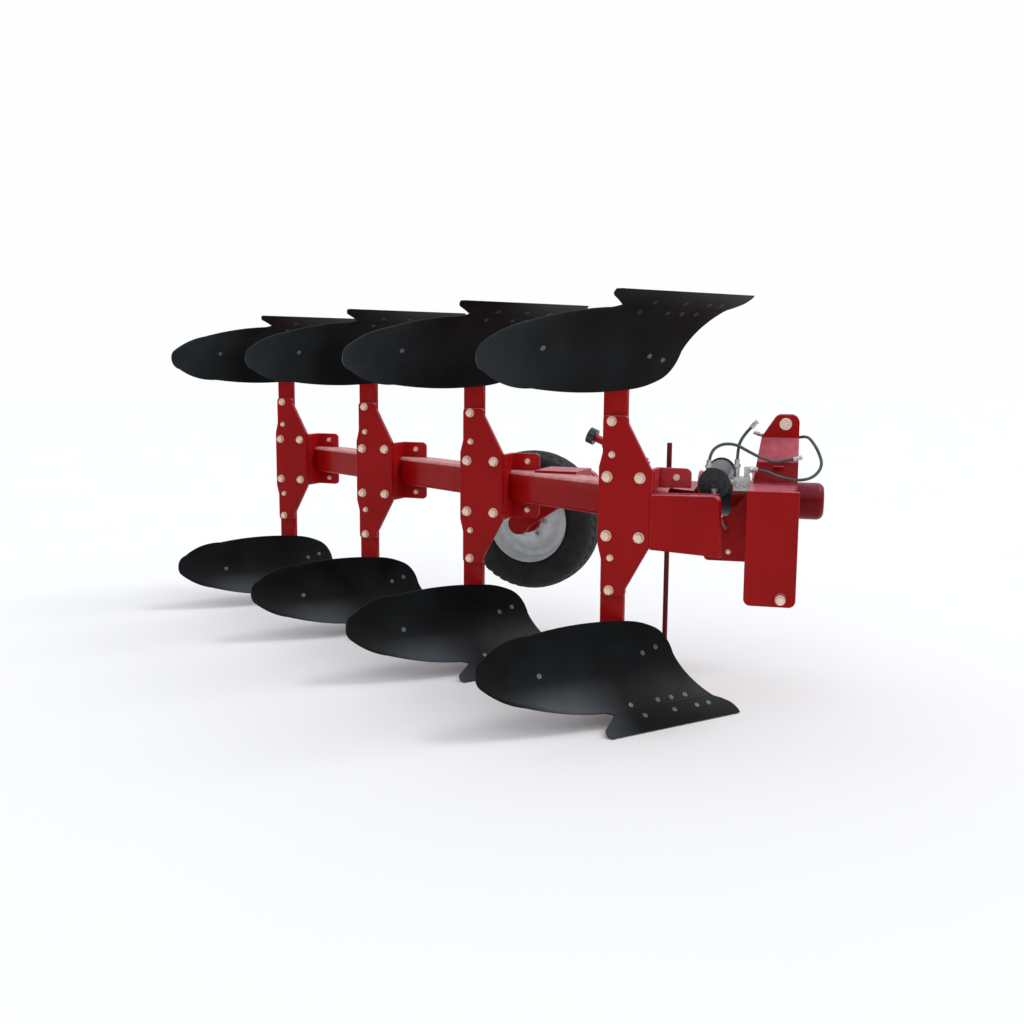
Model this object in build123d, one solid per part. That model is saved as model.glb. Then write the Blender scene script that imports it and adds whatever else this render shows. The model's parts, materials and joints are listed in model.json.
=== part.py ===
from build123d import *
import math
import os

# A four-furrow mounted reversible plough, millimetres, +X forward, +Y left, +Z up.
# Sizes are first given about the turnover axis (z = 0) and the front standard's
# rear bolt line (x = 0, y = 0). The whole model is set on its soles at the end.

# Bodies and furrows
BODY_COUNT = 4
BODY_SPACING = 850.0
FURROW_WIDTH = 464.0
SOLE_DEPTH = 857.0

# Further from the middle than any piece, for the tools that cut
REACH = 3000.0

# Main beam, a rolled square tube laid along the diagonal of the bodies
BEAM_SIDE = 150.0
BEAM_WALL = 10.0
BEAM_CORNER = 18.0
BEAM_CENTRE_Y = 285.0
BEAM_TAIL = 140.0
BEAM_CAP = 10.0
BEAM_ANGLE = math.degrees(math.atan2(FURROW_WIDTH, BODY_SPACING))

# Standard plates, one to a station, and the legs bolted behind them
PLATE_THICK = 25.0
PLATE_REAR_X = -37.0
PLATE_FRONT_X = 183.0
PLATE_WAIST_HALF = 162.0
PLATE_END_HALF = 375.0
PLATE_END_REAR_X = -22.0
PLATE_END_FRONT_X = 84.0
PLATE_STEP = 60.0
PLATE_CHIN = 30.0
PLATE_ROUND = 18.0
LEG_THICK = 30.0
LEG_REAR_X = -28.0
LEG_WIDTH = 100.0
LEG_INNER_END = 172.0
LEG_OUTER_HEIGHT = 70.0

# Consoles between the beam and the standard plates
CONSOLE_PLATE = 20.0
CONSOLE_HALF_HEIGHT = 157.0
CONSOLE_REAR_X = -30.0
CONSOLE_FACE_X = 185.0
CONSOLE_TAB_X = 316.0
CONSOLE_TAB_Y = 150.0
CONSOLE_TAB_THICK = 15.0
CONSOLE_TAB_ROUND = 24.0

# Working surface, a hollow cylinder whose level lines run along SWEEP_ANGLE
SWEEP_ANGLE = 53.8
TIP_X = 546.0
TIP_Y = 159.0
SURFACE_RADIUS = 520.0
SHARE_PITCH = 25.0
SURFACE_THICK = 10.0
SURFACE_TOP_PITCH = 88.0
SHARE_LOW_PITCH = 24.0
SHARE_TOP_PITCH = 60.0
SURFACE_MARGIN = 100.0

# Outline of share and moldboard: distance along the edge, height over the sole.
# Every second point is the middle of an arc between its neighbours.
SHARE_HEIGHT = 58.0
SHIN_FOOT = (58.0, SHARE_HEIGHT)
NOTCH = (575.0, SHARE_HEIGHT)
MOLDBOARD_OUTLINE = [
    SHIN_FOOT, (122, 128), (165, 222), (184, 290), (232, 334), (310, 363), (400, 377),
    (620, 388), (860, 371), (1000, 350), (1075, 310), (1126, 262), (1118, 212),
    (1050, 162), (950, 126), (780, 86), (610, 67),
]
SHARE_WING = [(640, 0), (660, 4), (654, 20), (606, 32), NOTCH]
SHARE_NOSE = [SHIN_FOOT, (20, 38), (-6, 20), (-12, 7), (0, 0)]

# Frog and landside behind the working surface
FROG_REACH = 330.0
FROG_TOP = 300.0
FROG_FLOOR = 14.0
SADDLE_THICK = 12.0
SADDLE_LAP = 0.3
SADDLE_START = 215.0
SADDLE_END = 470.0
SADDLE_LOW_PITCH = 30.0
SADDLE_HIGH_PITCH = 66.0
LANDSIDE_THICK = 14.0
LANDSIDE_OUTER_Y = 150.0
LANDSIDE_HEIGHT = 115.0
LANDSIDE_REAR_X = 30.0
LANDSIDE_NOSE = 60.0
BRACE_THICK = 18.0
BRACE_X = (76.0, 200.0)
BRACE_DROP = 10.0
STAY_DIAMETER = 22.0
STAY_ON_SURFACE = (846.0, 218.0)
STAY_ON_LEG = (22.0, 300.0)

# Headstock, turned a little on the plough by the front furrow setting
HEADSTOCK_X = 592.0
HEADSTOCK_Y = 543.0
HEADSTOCK_YAW = 8.5
LINK_SPREAD = 825.0
LINK_BALL_GAP = 52.0
ARM_PLATE = 25.0
ARM_RIB_THICK = 20.0
ARM_RIB_REAR = -88.0
ARM_RIB_DEPTH = 200.0
ARM_RIB_TIP = 12.0
ARM_REAR = -100.0
ARM_FRONT = 105.0
ARM_BOTTOM = -382.0
ARM_TOP = 85.0
ARM_ROUND = 28.0
LOWER_PIN_FORWARD = 45.0
LOWER_PIN_Z = -350.0
LOWER_PIN_DIAMETER = 36.6
LOWER_PIN_FREE = 72.0
PIN_HEAD_DIAMETER = 52.0
PIN_HEAD_THICK = 9.0
CROSS_REAR = -95.0
CROSS_FRONT = 85.0
CROSS_BOTTOM = -75.0
BEARING_DIAMETER = 160.0
BEARING_FRONT = 215.0
BEARING_REAR = -175.0
BEARING_ROUND = 26.0
MAST_PLATE = 18.0
MAST_FOOT_HALF = 165.0
MAST_KNEE_HALF = 142.0
MAST_HEAD_HALF = 52.0
MAST_KNEE_Z = 176.0
MAST_NECK_Z = 276.0
MAST_TOP_Z = 374.0
MAST_REAR = -85.0
MAST_FRONT = 100.0
TOP_PIN_FORWARD = 42.0
TOP_PIN_Z = 335.0
TOP_PIN_DIAMETER = 31.75
TOP_PIN_PAST_EAR = 30.0
TOP_PIN_CLEARANCE = 0.5
MAST_EAR_ROUND = 34.0
MAST_EAR_REAR = 35.0
MAST_LEAN_IN = 28.0
MAST_WALL_DROP = 6.0
MAST_BRIDGE_REAR = -55.0
MAST_BRIDGE_THICK = 18.0
MAST_BRIDGE_HEIGHT = 60.0

# Gusset plates behind the cross beam and under it
GUSSET_PLATE = 14.0
GUSSET_ACROSS = LINK_SPREAD / 2 - 162.5
GUSSET_TOP = 57.0
GUSSET_KNEE = (-206.0, -72.0)
GUSSET_REAR = -288.0
GUSSET_FRONT = -40.0
GUSSET_BOTTOM = -238.0
GUSSET_ROUND = 20.0

# Hydraulics: valve block, ports, hoses and the rest that carries them
BLOCK_REAR = -163.0
BLOCK_RIGHT = -262.0
BLOCK_LEFT = -190.0
BLOCK_BOTTOM = 62.0
BLOCK_TOP = 118.0
HOSE_DIAMETER = 13.0
ARC_SHARE = 0.45
FITTING_DIAMETER = 22.0
COUPLING_DIAMETER = 21.0
COUPLING_LENGTH = 38.0
DROP_COUPLING_LENGTH = 22.0
HOSE_REST_DEPTH = 34.0
HOSE_REST_THICK = 6.0
HOSE_REST_REAR = -4.0
HOSE_REST_FRONT = 40.0
HOSE_REST_DROP = 14.0
RAM_PORT_HEIGHT = 40.0

# Hose routes in the headstock's axes, each a short list of corners: ahead, left, up
HOSE_ROUTES = {
    "hose_ram": [
        (-262, -312, 160), (-262, -312, 216), (-223, -300, 258), (-160, -276, 260),
        (-104, -242, 226), (-50, -196, 196), (15, -164, 176), (78, -158, 192),
    ],
    "hose_free": [
        (-150, -242, 160), (-150, -242, 216), (-140, -236, 280), (-98, -228, 326),
    ],
    "hose_loop": [
        (-98, -226, 150), (-46, -226, 150), (22, -228, 122), (95, -208, 106),
        (162, -184, 118), (200, -140, 166), (182, -92, 222), (156, -26, 262),
        (134, 48, 280), (78, 92, 266), (4, 88, 256), (-58, 86, 278),
    ],
    "hose_drop": [
        (-236, -346, 78), (-236, -346, 30), (-221, -338, -22),
        (-200, -GUSSET_ACROSS - 58, -68), (-190, -GUSSET_ACROSS - 20, -96),
    ],
}

# Turnover drive: a rack ram lying across over the shaft's gear case
SHAFT_DIAMETER = 90.0
SHAFT_FRONT = 120.0
SHAFT_CLEARANCE = 0.08
RAM_DIAMETER = 118.0
RAM_CAP_DIAMETER = 130.0
RAM_CAP_LENGTH = 35.0
RAM_FORWARD = -238.0
RAM_Z = 96.0
RAM_RIGHT = -330.0
RAM_LEFT = 260.0
GEAR_CASE_DIAMETER = 158.0
GEAR_CASE_REAR = -280.0
FLANGE_DIAMETER = 240.0
FLANGE_THICK = 16.0
FLANGE_REAR = -322.0

# Front frame that joins the turnover flange to the beam
MEMBER_REAR = -417.0
MEMBER_BOTTOM = -118.0
MEMBER_TOP = 60.0
MEMBER_LEFT = 120.0
SIDE_BOX_DEPTH = 57.0
SIDE_BOX_FRONT_X = 475.0
SIDE_BOX_REAR_TOP = 56.0
SIDE_BOX_FRONT_TOP = 64.0
SIDE_BOX_REAR_BOTTOM = -170.0
SIDE_BOX_FRONT_BOTTOM = -182.0
SIDE_BOX_ROUND = 26.0
SIDE_BOX_SPLAY = 12.0

# Depth wheel
WHEEL_X = -773.0
WHEEL_Y = 1150.0
WHEEL_Z = -242.0
TYRE_RADIUS = 372.0
TYRE_WIDTH = 230.0
TYRE_BEAD_RADIUS = 222.0
TYRE_BEAD_HALF = 83.0
TYRE_BULGE_RADIUS = 298.0
TYRE_SHOULDER_RADIUS = 350.0
TYRE_SHOULDER_HALF = 94.0
TYRE_TREAD_HALF = 68.0
TYRE_TREAD_DROP = 6.0
TYRE_CROWN_HALF = 22.0
TYRE_WALL_BELOW = 30.0
TYRE_WALL_ABOVE = 34.0
TYRE_WALL_DRAW = 6.5
RIM_WALL = 8.0
RIM_FLANGE_HALF = 84.0
RIM_WELL_RADIUS = 176.0
RIM_WELL_HALF = 40.0
RIM_WELL_FACE = -12.0
RIM_WELL_BACK = -2.0
RIM_SEAT_BACK = 20.0
DISC_RADIUS = 104.0
DISC_WALL = 9.0
DISC_FACE = -46.0
HUB_RADIUS = 62.0
HUB_OUTER = -84.0
HUB_INNER = 60.0
HUB_CAP_WALL = 16.0
AXLE_END_GAP = 4.0
PIVOT_X = -400.0
PIVOT_Z = 0.0
CARRIER_DIAMETER = 100.0
CARRIER_END_Y = 925.0
GUSSET_BEHIND = 120.0
GUSSET_AHEAD = 90.0
GUSSET_HALF = 87.0
GUSSET_END_Y = 740.0
PIVOT_DIAMETER = 50.0
PIVOT_PAST_ARM = 14.0
ARM_BOSS_DIAMETER = 110.0
ARM_WIDTH = 50.0
ARM_DEPTH = 82.0
ARM_GAP = 6.0
AXLE_DIAMETER = 45.0

# Furrow width adjuster: a spindle leaning over the beam behind the front standard
ADJUSTER_Y = 262.0
ADJUSTER_REAR_X = -152.0
ADJUSTER_REAR_Z = 272.0
ADJUSTER_FRONT_X = 96.0
ADJUSTER_FRONT_Z = 168.0
ADJUSTER_DIAMETER = 34.0
ADJUSTER_TUBE_DIAMETER = 52.0
ADJUSTER_TUBE_START = 62.0
ADJUSTER_TUBE_LENGTH = 130.0
ADJUSTER_CAP_DIAMETER = 70.0
ADJUSTER_CAP_LENGTH = 34.0
ADJUSTER_POST_X = (-57.0, -31.0)
ADJUSTER_LUG_X = (78.0, 104.0)
ADJUSTER_PLATE_HALF = 22.0

# Parking stand
STAND_FORWARD = -440.0
STAND_ACROSS = -170.0
STAND_DIAMETER = 22.0
STAND_TOP = 251.0
STAND_FOOT_THICK = 10.0
STAND_FOOT_DIAMETER = 70.0
SOCKET_SIDE = 50.0
SOCKET_BOTTOM = -118.0
SOCKET_TOP = 84.0
STAND_CLEARANCE = 0.5

os.makedirs("parts", exist_ok=True)
nodes = {}


# Working surface axes: along the edge from the tip, and the level normal
edge_along = Vector(
    -math.cos(math.radians(SWEEP_ANGLE)), -math.sin(math.radians(SWEEP_ANGLE)), 0
)
edge_normal = Vector(
    math.sin(math.radians(SWEEP_ANGLE)), -math.cos(math.radians(SWEEP_ANGLE)), 0
)
tip = Vector(TIP_X, TIP_Y, -SOLE_DEPTH)
profile_plane = Plane(origin=tip, x_dir=edge_normal, z_dir=edge_along)
outline_plane = Plane(origin=tip, x_dir=edge_along, z_dir=-edge_normal)


def station(index):
    """Place of a body, counted from the front."""
    return Location((-BODY_SPACING * index, FURROW_WIDTH * index, 0))


def box_between(x, y, z):
    """Block between pairs of limits."""
    block = Box(x[1] - x[0], y[1] - y[0], z[1] - z[0], align=(Align.MIN,) * 3)
    return Pos(x[0], y[0], z[0]) * block


def cylinder_y(x, z, y0, y1, diameter):
    """Round bar along Y."""
    bar = Cylinder(diameter / 2, y1 - y0, align=(Align.CENTER, Align.CENTER, Align.MIN))
    return Pos(x, y0, z) * Rot(-90, 0, 0) * bar


def cylinder_x(y, z, x0, x1, diameter):
    """Round bar along X."""
    bar = Cylinder(diameter / 2, x1 - x0, align=(Align.CENTER, Align.CENTER, Align.MIN))
    return Pos(x0, y, z) * Rot(0, 90, 0) * bar


def plate_xz(points, y0, y1, rounding=0.0, rounded=()):
    """Plate between y0 and y1 with a straight-sided outline of (x, z) points."""
    outline = Polyline(*points, close=True)
    face = make_face(outline)
    if rounding:
        corners = [v for v in face.vertices() if any(
            abs(v.X - px) < 0.01 and abs(v.Y - pz) < 0.01 for px, pz in rounded)]
        face = fillet(corners, rounding)
    plane = Plane(origin=(0, y0, 0), x_dir=(1, 0, 0), z_dir=(0, -1, 0))
    return extrude(plane * face, amount=-(y1 - y0))


def arc_strip(inner_radius, thick, low_pitch, high_pitch, start, end):
    """Curved strip of the hollow cylinder between two pitches of its profile."""
    centre_a = SURFACE_RADIUS * math.sin(math.radians(SHARE_PITCH))
    centre_h = SURFACE_RADIUS * math.cos(math.radians(SHARE_PITCH))

    def at(radius, pitch):
        angle = math.radians(pitch)
        return (centre_a - radius * math.sin(angle), centre_h - radius * math.cos(angle))

    outer_radius = inner_radius + thick
    middle = (low_pitch + high_pitch) / 2
    wire = Wire([
        ThreePointArc(
            at(inner_radius, low_pitch), at(inner_radius, middle), at(inner_radius, high_pitch)
        ),
        Line(at(inner_radius, high_pitch), at(outer_radius, high_pitch)),
        ThreePointArc(
            at(outer_radius, high_pitch), at(outer_radius, middle), at(outer_radius, low_pitch)
        ),
        Line(at(outer_radius, low_pitch), at(inner_radius, low_pitch)),
    ])
    section = profile_plane.offset(start) * Face(wire)
    return extrude(section, amount=end - start)


def surface_cylinder(radius):
    """Whole round bar that the working surface is rolled on."""
    centre_a = SURFACE_RADIUS * math.sin(math.radians(SHARE_PITCH))
    centre_h = SURFACE_RADIUS * math.cos(math.radians(SHARE_PITCH))
    section = profile_plane.offset(-REACH) * Pos(centre_a, centre_h) * Circle(radius)
    return extrude(section, amount=2 * REACH)


def arcs(points):
    """Arcs through points, every second one the middle of an arc."""
    return [ThreePointArc(*points[start:start + 3]) for start in range(0, len(points) - 2, 2)]


def outline_prism(edges):
    """Prism along the level normal over an outline of the working surface."""
    face = outline_plane * Face(Wire(edges))
    return extrude(face, amount=REACH / 2, both=True)


def moldboard():
    """Moldboard of a lower body at the front station."""
    heel = MOLDBOARD_OUTLINE[-1]
    edges = arcs(MOLDBOARD_OUTLINE) + [Line(heel, NOTCH), Line(NOTCH, SHIN_FOOT)]
    length = max(along for along, _ in MOLDBOARD_OUTLINE)
    strip = arc_strip(
        SURFACE_RADIUS, SURFACE_THICK, SHARE_PITCH, SURFACE_TOP_PITCH,
        -SURFACE_MARGIN, length + SURFACE_MARGIN,
    )
    return strip & outline_prism(edges)


def share():
    """Share of a lower body at the front station."""
    edges = [Line(SHARE_NOSE[-1], SHARE_WING[0]), *arcs(SHARE_WING), Line(NOTCH, SHIN_FOOT)]
    edges += arcs(SHARE_NOSE)
    length = max(along for along, _ in SHARE_WING)
    strip = arc_strip(
        SURFACE_RADIUS, SURFACE_THICK, SHARE_LOW_PITCH, SHARE_TOP_PITCH,
        -SURFACE_MARGIN, length + SURFACE_MARGIN,
    )
    return strip & outline_prism(edges)


def stay():
    """Round stay from the leg to the back of the moldboard's tail."""
    along, height = STAY_ON_SURFACE
    pitch = math.acos(math.cos(math.radians(SHARE_PITCH)) - height / SURFACE_RADIUS)
    draw_back = SURFACE_RADIUS * (math.sin(math.radians(SHARE_PITCH)) - math.sin(pitch))
    tail = tip + edge_along * along + edge_normal * draw_back + Vector(0, 0, height)
    foot = Vector(STAY_ON_LEG[0], PLATE_THICK + LEG_THICK / 2, STAY_ON_LEG[1] - SOLE_DEPTH)
    bar = Cylinder(
        STAY_DIAMETER / 2, (tail - foot).length, align=(Align.CENTER, Align.CENTER, Align.MIN)
    )
    return Plane(origin=foot, z_dir=tail - foot) * bar


def leg():
    """Leg, frog and landside of a lower body at the front station."""
    leg_y = (PLATE_THICK, PLATE_THICK + LEG_THICK)
    back = surface_cylinder(SURFACE_RADIUS + SURFACE_THICK)
    bar = box_between(
        (LEG_REAR_X, LEG_REAR_X + LEG_WIDTH), leg_y,
        (-SOLE_DEPTH + LEG_OUTER_HEIGHT, -LEG_INNER_END),
    )
    web = box_between(
        (LEG_REAR_X + LEG_WIDTH, FROG_REACH), leg_y,
        (-SOLE_DEPTH + FROG_FLOOR, -SOLE_DEPTH + FROG_TOP),
    )
    saddle = arc_strip(
        SURFACE_RADIUS + SURFACE_THICK - SADDLE_LAP, SADDLE_THICK + SADDLE_LAP,
        SADDLE_LOW_PITCH, SADDLE_HIGH_PITCH, SADDLE_START, SADDLE_END,
    )
    landside_y = (LANDSIDE_OUTER_Y - LANDSIDE_THICK, LANDSIDE_OUTER_Y)
    landside = box_between(
        (LANDSIDE_REAR_X, FROG_REACH + LANDSIDE_NOSE), landside_y,
        (-SOLE_DEPTH, -SOLE_DEPTH + LANDSIDE_HEIGHT),
    )
    braces = [
        box_between(
            (brace_x, brace_x + BRACE_THICK), (leg_y[1], landside_y[0]),
            (-SOLE_DEPTH + FROG_FLOOR, -SOLE_DEPTH + LANDSIDE_HEIGHT - BRACE_DROP),
        )
        for brace_x in BRACE_X
    ]
    frog = Part() + [bar, web, saddle, landside, stay(), *braces]
    floor = box_between((-REACH, REACH), (-REACH, REACH), (-REACH, -SOLE_DEPTH))
    return frog - back - floor


def standard_plate():
    """Outline plate that holds the two legs of a station."""
    half = [
        (PLATE_REAR_X, PLATE_WAIST_HALF),
        (PLATE_END_REAR_X, PLATE_WAIST_HALF + PLATE_STEP),
        (PLATE_END_REAR_X, PLATE_END_HALF),
        (PLATE_END_FRONT_X, PLATE_END_HALF),
        (PLATE_END_FRONT_X, PLATE_END_HALF - PLATE_CHIN),
        (PLATE_FRONT_X, PLATE_WAIST_HALF),
    ]
    mirrored = [(x, -z) for x, z in reversed(half)]
    points = half + mirrored
    return plate_xz(points, 0, PLATE_THICK, PLATE_ROUND, points)


def beam_bar(side, corner, front, rear):
    """Square bar along the beam line from rear to front of the x = 0 station."""
    section = RectangleRounded(side, side, corner)
    direction = Vector(
        math.cos(math.radians(BEAM_ANGLE)), -math.sin(math.radians(BEAM_ANGLE)), 0
    )
    start = Vector(0, BEAM_CENTRE_Y, 0) + direction * rear
    plane = Plane(origin=start, x_dir=(0, 0, 1), z_dir=direction)
    return extrude(plane * section, amount=front - rear)


def beam_line_y(x):
    """Where the beam's centre line runs at an x."""
    return BEAM_CENTRE_Y - x * math.tan(math.radians(BEAM_ANGLE))


def on_headstock(shape):
    """Shape given in the headstock's own axes, put where the headstock is."""
    return Pos(HEADSTOCK_X, HEADSTOCK_Y, 0) * Rot(0, 0, HEADSTOCK_YAW) * shape


beam_length = math.hypot(BODY_SPACING, FURROW_WIDTH) * (BODY_COUNT - 1)
beam_envelope = beam_bar(BEAM_SIDE, BEAM_CORNER, REACH / 2, -beam_length - 2 * BEAM_TAIL)
member = on_headstock(box_between(
    (MEMBER_REAR, FLANGE_REAR), (-REACH, MEMBER_LEFT), (MEMBER_BOTTOM, MEMBER_TOP)
))
right_of_box = box_between((-REACH, REACH), (-2 * REACH, SIDE_BOX_DEPTH), (-REACH, REACH))
ahead_of_member = on_headstock(box_between((MEMBER_REAR, REACH), (-REACH, REACH), (-REACH, REACH)))

beam = beam_bar(BEAM_SIDE, BEAM_CORNER, REACH / 3, -beam_length - BEAM_TAIL)
beam = beam - beam_bar(
    BEAM_SIDE - 2 * BEAM_WALL, BEAM_CORNER - BEAM_WALL,
    REACH / 2, -beam_length - BEAM_TAIL + BEAM_CAP,
)
beam = beam - ahead_of_member
nodes["main_beam"] = beam


def console():
    """Bracket between beam and standard plate."""
    flange_y = (PLATE_THICK, PLATE_THICK + CONSOLE_PLATE)
    half = CONSOLE_HALF_HEIGHT
    flange = box_between((CONSOLE_REAR_X, CONSOLE_FACE_X), flange_y, (-half, half))
    web = box_between(
        (CONSOLE_FACE_X - CONSOLE_PLATE, CONSOLE_FACE_X), (flange_y[0], CONSOLE_TAB_Y), (-half, half)
    )
    rear_web = box_between(
        (CONSOLE_REAR_X, CONSOLE_REAR_X + CONSOLE_PLATE), (flange_y[0], BEAM_CENTRE_Y), (-half, half)
    )
    tab_points = [
        (CONSOLE_FACE_X - CONSOLE_PLATE, -half),
        (CONSOLE_TAB_X, -half),
        (CONSOLE_TAB_X, half),
        (CONSOLE_FACE_X - CONSOLE_PLATE, half),
    ]
    tab = plate_xz(
        tab_points, CONSOLE_TAB_Y, CONSOLE_TAB_Y + CONSOLE_TAB_THICK,
        CONSOLE_TAB_ROUND, tab_points[1:3],
    )
    return flange + web + rear_web + tab - beam_envelope


for index in range(BODY_COUNT):
    place = station(index)
    number = index + 1
    nodes[f"standard_plate_{number}"] = place * standard_plate()
    nodes[f"console_{number}"] = place * console()
    for side, turn in (("lower", False), ("upper", True)):
        for name, make in (("leg", leg), ("moldboard", moldboard), ("share", share)):
            piece = make()
            if turn:
                piece = mirror(piece, Plane.XY)
            nodes[f"{name}_{side}_{number}"] = place * piece

# Front frame
side_points = [
    (CONSOLE_FACE_X, SIDE_BOX_REAR_BOTTOM),
    (SIDE_BOX_FRONT_X, SIDE_BOX_FRONT_BOTTOM),
    (SIDE_BOX_FRONT_X - SIDE_BOX_SPLAY, SIDE_BOX_FRONT_TOP),
    (CONSOLE_FACE_X, SIDE_BOX_REAR_TOP),
]
side_box = plate_xz(side_points, 0, SIDE_BOX_DEPTH, SIDE_BOX_ROUND, side_points[2:3])
nodes["side_box"] = side_box
nodes["front_member"] = member - right_of_box - nodes["console_1"] - beam_envelope
shaft = cylinder_x(0, 0, FLANGE_REAR, SHAFT_FRONT, SHAFT_DIAMETER)
flange = cylinder_x(0, 0, FLANGE_REAR, FLANGE_REAR + FLANGE_THICK, FLANGE_DIAMETER)
nodes["turnover_shaft"] = on_headstock(shaft + flange)

# Headstock
arm_face = LINK_SPREAD / 2 + LINK_BALL_GAP / 2
cross_end = arm_face - LINK_BALL_GAP
for name, sign in (("left", 1), ("right", -1)):
    outline = [
        (ARM_REAR, ARM_BOTTOM), (ARM_FRONT, ARM_BOTTOM), (ARM_FRONT, ARM_TOP), (ARM_REAR, ARM_TOP)
    ]
    plate = plate_xz(outline, arm_face, arm_face + ARM_PLATE, ARM_ROUND, outline[0:2])
    cap = box_between((ARM_REAR, CROSS_FRONT), (cross_end, arm_face), (CROSS_BOTTOM, ARM_TOP))
    rib_face = make_face(Polyline(
        (cross_end, CROSS_BOTTOM),
        (arm_face, CROSS_BOTTOM),
        (arm_face, CROSS_BOTTOM - ARM_RIB_DEPTH),
        (arm_face - ARM_RIB_TIP, CROSS_BOTTOM - ARM_RIB_DEPTH),
        close=True,
    ))
    rib_plane = Plane(origin=(ARM_RIB_REAR, 0, 0), x_dir=(0, 1, 0), z_dir=(1, 0, 0))
    rib = extrude(rib_plane * rib_face, amount=ARM_RIB_THICK)
    pin = cylinder_y(
        LOWER_PIN_FORWARD, LOWER_PIN_Z, arm_face - LOWER_PIN_FREE, arm_face, LOWER_PIN_DIAMETER
    )
    head = cylinder_y(
        LOWER_PIN_FORWARD, LOWER_PIN_Z, arm_face + ARM_PLATE,
        arm_face + ARM_PLATE + PIN_HEAD_THICK, PIN_HEAD_DIAMETER,
    )
    arm = plate + cap + rib + pin + head
    if sign < 0:
        arm = mirror(arm, Plane.XZ)
    nodes[f"hitch_arm_{name}"] = on_headstock(arm)

gusset_outline = [
    (CROSS_REAR, GUSSET_TOP), GUSSET_KNEE, (GUSSET_REAR, GUSSET_BOTTOM),
    (GUSSET_FRONT, GUSSET_BOTTOM), (GUSSET_FRONT, CROSS_BOTTOM), (CROSS_REAR, CROSS_BOTTOM),
]
for name, across in (("left", GUSSET_ACROSS), ("right", -GUSSET_ACROSS)):
    gusset = plate_xz(
        gusset_outline, across - GUSSET_PLATE / 2, across + GUSSET_PLATE / 2,
        GUSSET_ROUND, gusset_outline[2:3],
    )
    nodes[f"headstock_gusset_{name}"] = on_headstock(gusset)

bore_diameter = SHAFT_DIAMETER + 2 * SHAFT_CLEARANCE
shaft_bore = cylinder_x(
    0, 0, GEAR_CASE_REAR - 100, SHAFT_FRONT + SHAFT_CLEARANCE, bore_diameter
)
bearing = cylinder_x(0, 0, BEARING_REAR, BEARING_FRONT, BEARING_DIAMETER)
front_rim = bearing.edges().filter_by(GeomType.CIRCLE).sort_by(Axis.X)[-1]
bearing = chamfer(front_rim, BEARING_ROUND)
cross = box_between((CROSS_REAR, CROSS_FRONT), (-cross_end, cross_end), (CROSS_BOTTOM, ARM_TOP))
nodes["cross_beam"] = on_headstock(cross + bearing - shaft_bore)


def port(point, height):
    """Upright fitting whose top face meets a hose."""
    body = Cylinder(FITTING_DIAMETER / 2, height, align=(Align.CENTER, Align.CENTER, Align.MAX))
    return Pos(*point) * body


ram = Pos(RAM_FORWARD, RAM_RIGHT, RAM_Z) * Rot(-90, 0, 0) * Cylinder(
    RAM_DIAMETER / 2, RAM_LEFT - RAM_RIGHT, align=(Align.CENTER, Align.CENTER, Align.MIN)
)
for cap_start in (RAM_RIGHT, RAM_LEFT - RAM_CAP_LENGTH):
    ram = ram + cylinder_y(
        RAM_FORWARD, RAM_Z, cap_start, cap_start + RAM_CAP_LENGTH, RAM_CAP_DIAMETER
    )
gear_case = cylinder_x(0, 0, GEAR_CASE_REAR, BEARING_REAR, GEAR_CASE_DIAMETER)
ram_port = port(HOSE_ROUTES["hose_ram"][0], RAM_PORT_HEIGHT)
drop_x, drop_y, drop_z = HOSE_ROUTES["hose_drop"][0]
drop_port = box_between(
    (drop_x - FITTING_DIAMETER / 2, drop_x + FITTING_DIAMETER / 2),
    (drop_y - FITTING_DIAMETER / 2, RAM_RIGHT),
    (drop_z, drop_z + FITTING_DIAMETER),
)
nodes["turnover_ram"] = on_headstock(ram + gear_case + ram_port + drop_port - shaft_bore)

half_path = [
    (MAST_FOOT_HALF, ARM_TOP),
    (MAST_KNEE_HALF, MAST_KNEE_Z),
    (MAST_HEAD_HALF, MAST_NECK_Z),
    (MAST_HEAD_HALF, MAST_TOP_Z),
]
inner_path = [
    (MAST_FOOT_HALF - MAST_PLATE, ARM_TOP),
    (MAST_KNEE_HALF - MAST_PLATE, MAST_KNEE_Z - MAST_WALL_DROP),
    (MAST_HEAD_HALF - MAST_PLATE, MAST_NECK_Z - MAST_WALL_DROP),
    (MAST_HEAD_HALF - MAST_PLATE, MAST_TOP_Z),
]
mast_face = make_face(Polyline(*half_path, *reversed(inner_path), close=True))
mast_plane = Plane(origin=(MAST_REAR, 0, 0), x_dir=(0, 1, 0), z_dir=(1, 0, 0))
mast_left = extrude(mast_plane * mast_face, amount=MAST_FRONT - MAST_REAR)
ear_rear = TOP_PIN_FORWARD - MAST_EAR_REAR
mast_side = plate_xz(
    [
        (MAST_REAR, ARM_TOP), (MAST_FRONT, ARM_TOP), (MAST_FRONT, MAST_TOP_Z),
        (ear_rear, MAST_TOP_Z), (MAST_REAR + MAST_LEAN_IN, MAST_NECK_Z),
    ],
    0, MAST_FOOT_HALF, MAST_EAR_ROUND,
    [(MAST_FRONT, MAST_TOP_Z), (ear_rear, MAST_TOP_Z)],
)
mast_left = mast_left & mast_side
pin_bore = cylinder_y(
    TOP_PIN_FORWARD, TOP_PIN_Z, -MAST_FOOT_HALF, MAST_FOOT_HALF, TOP_PIN_DIAMETER + TOP_PIN_CLEARANCE
)
mast = mast_left + mirror(mast_left, Plane.XZ)
bridge_half = MAST_HEAD_HALF - MAST_PLATE
bridge = box_between(
    (MAST_BRIDGE_REAR, MAST_BRIDGE_REAR + MAST_BRIDGE_THICK),
    (-bridge_half, bridge_half),
    (MAST_NECK_Z - MAST_BRIDGE_HEIGHT, MAST_NECK_Z),
)
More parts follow.
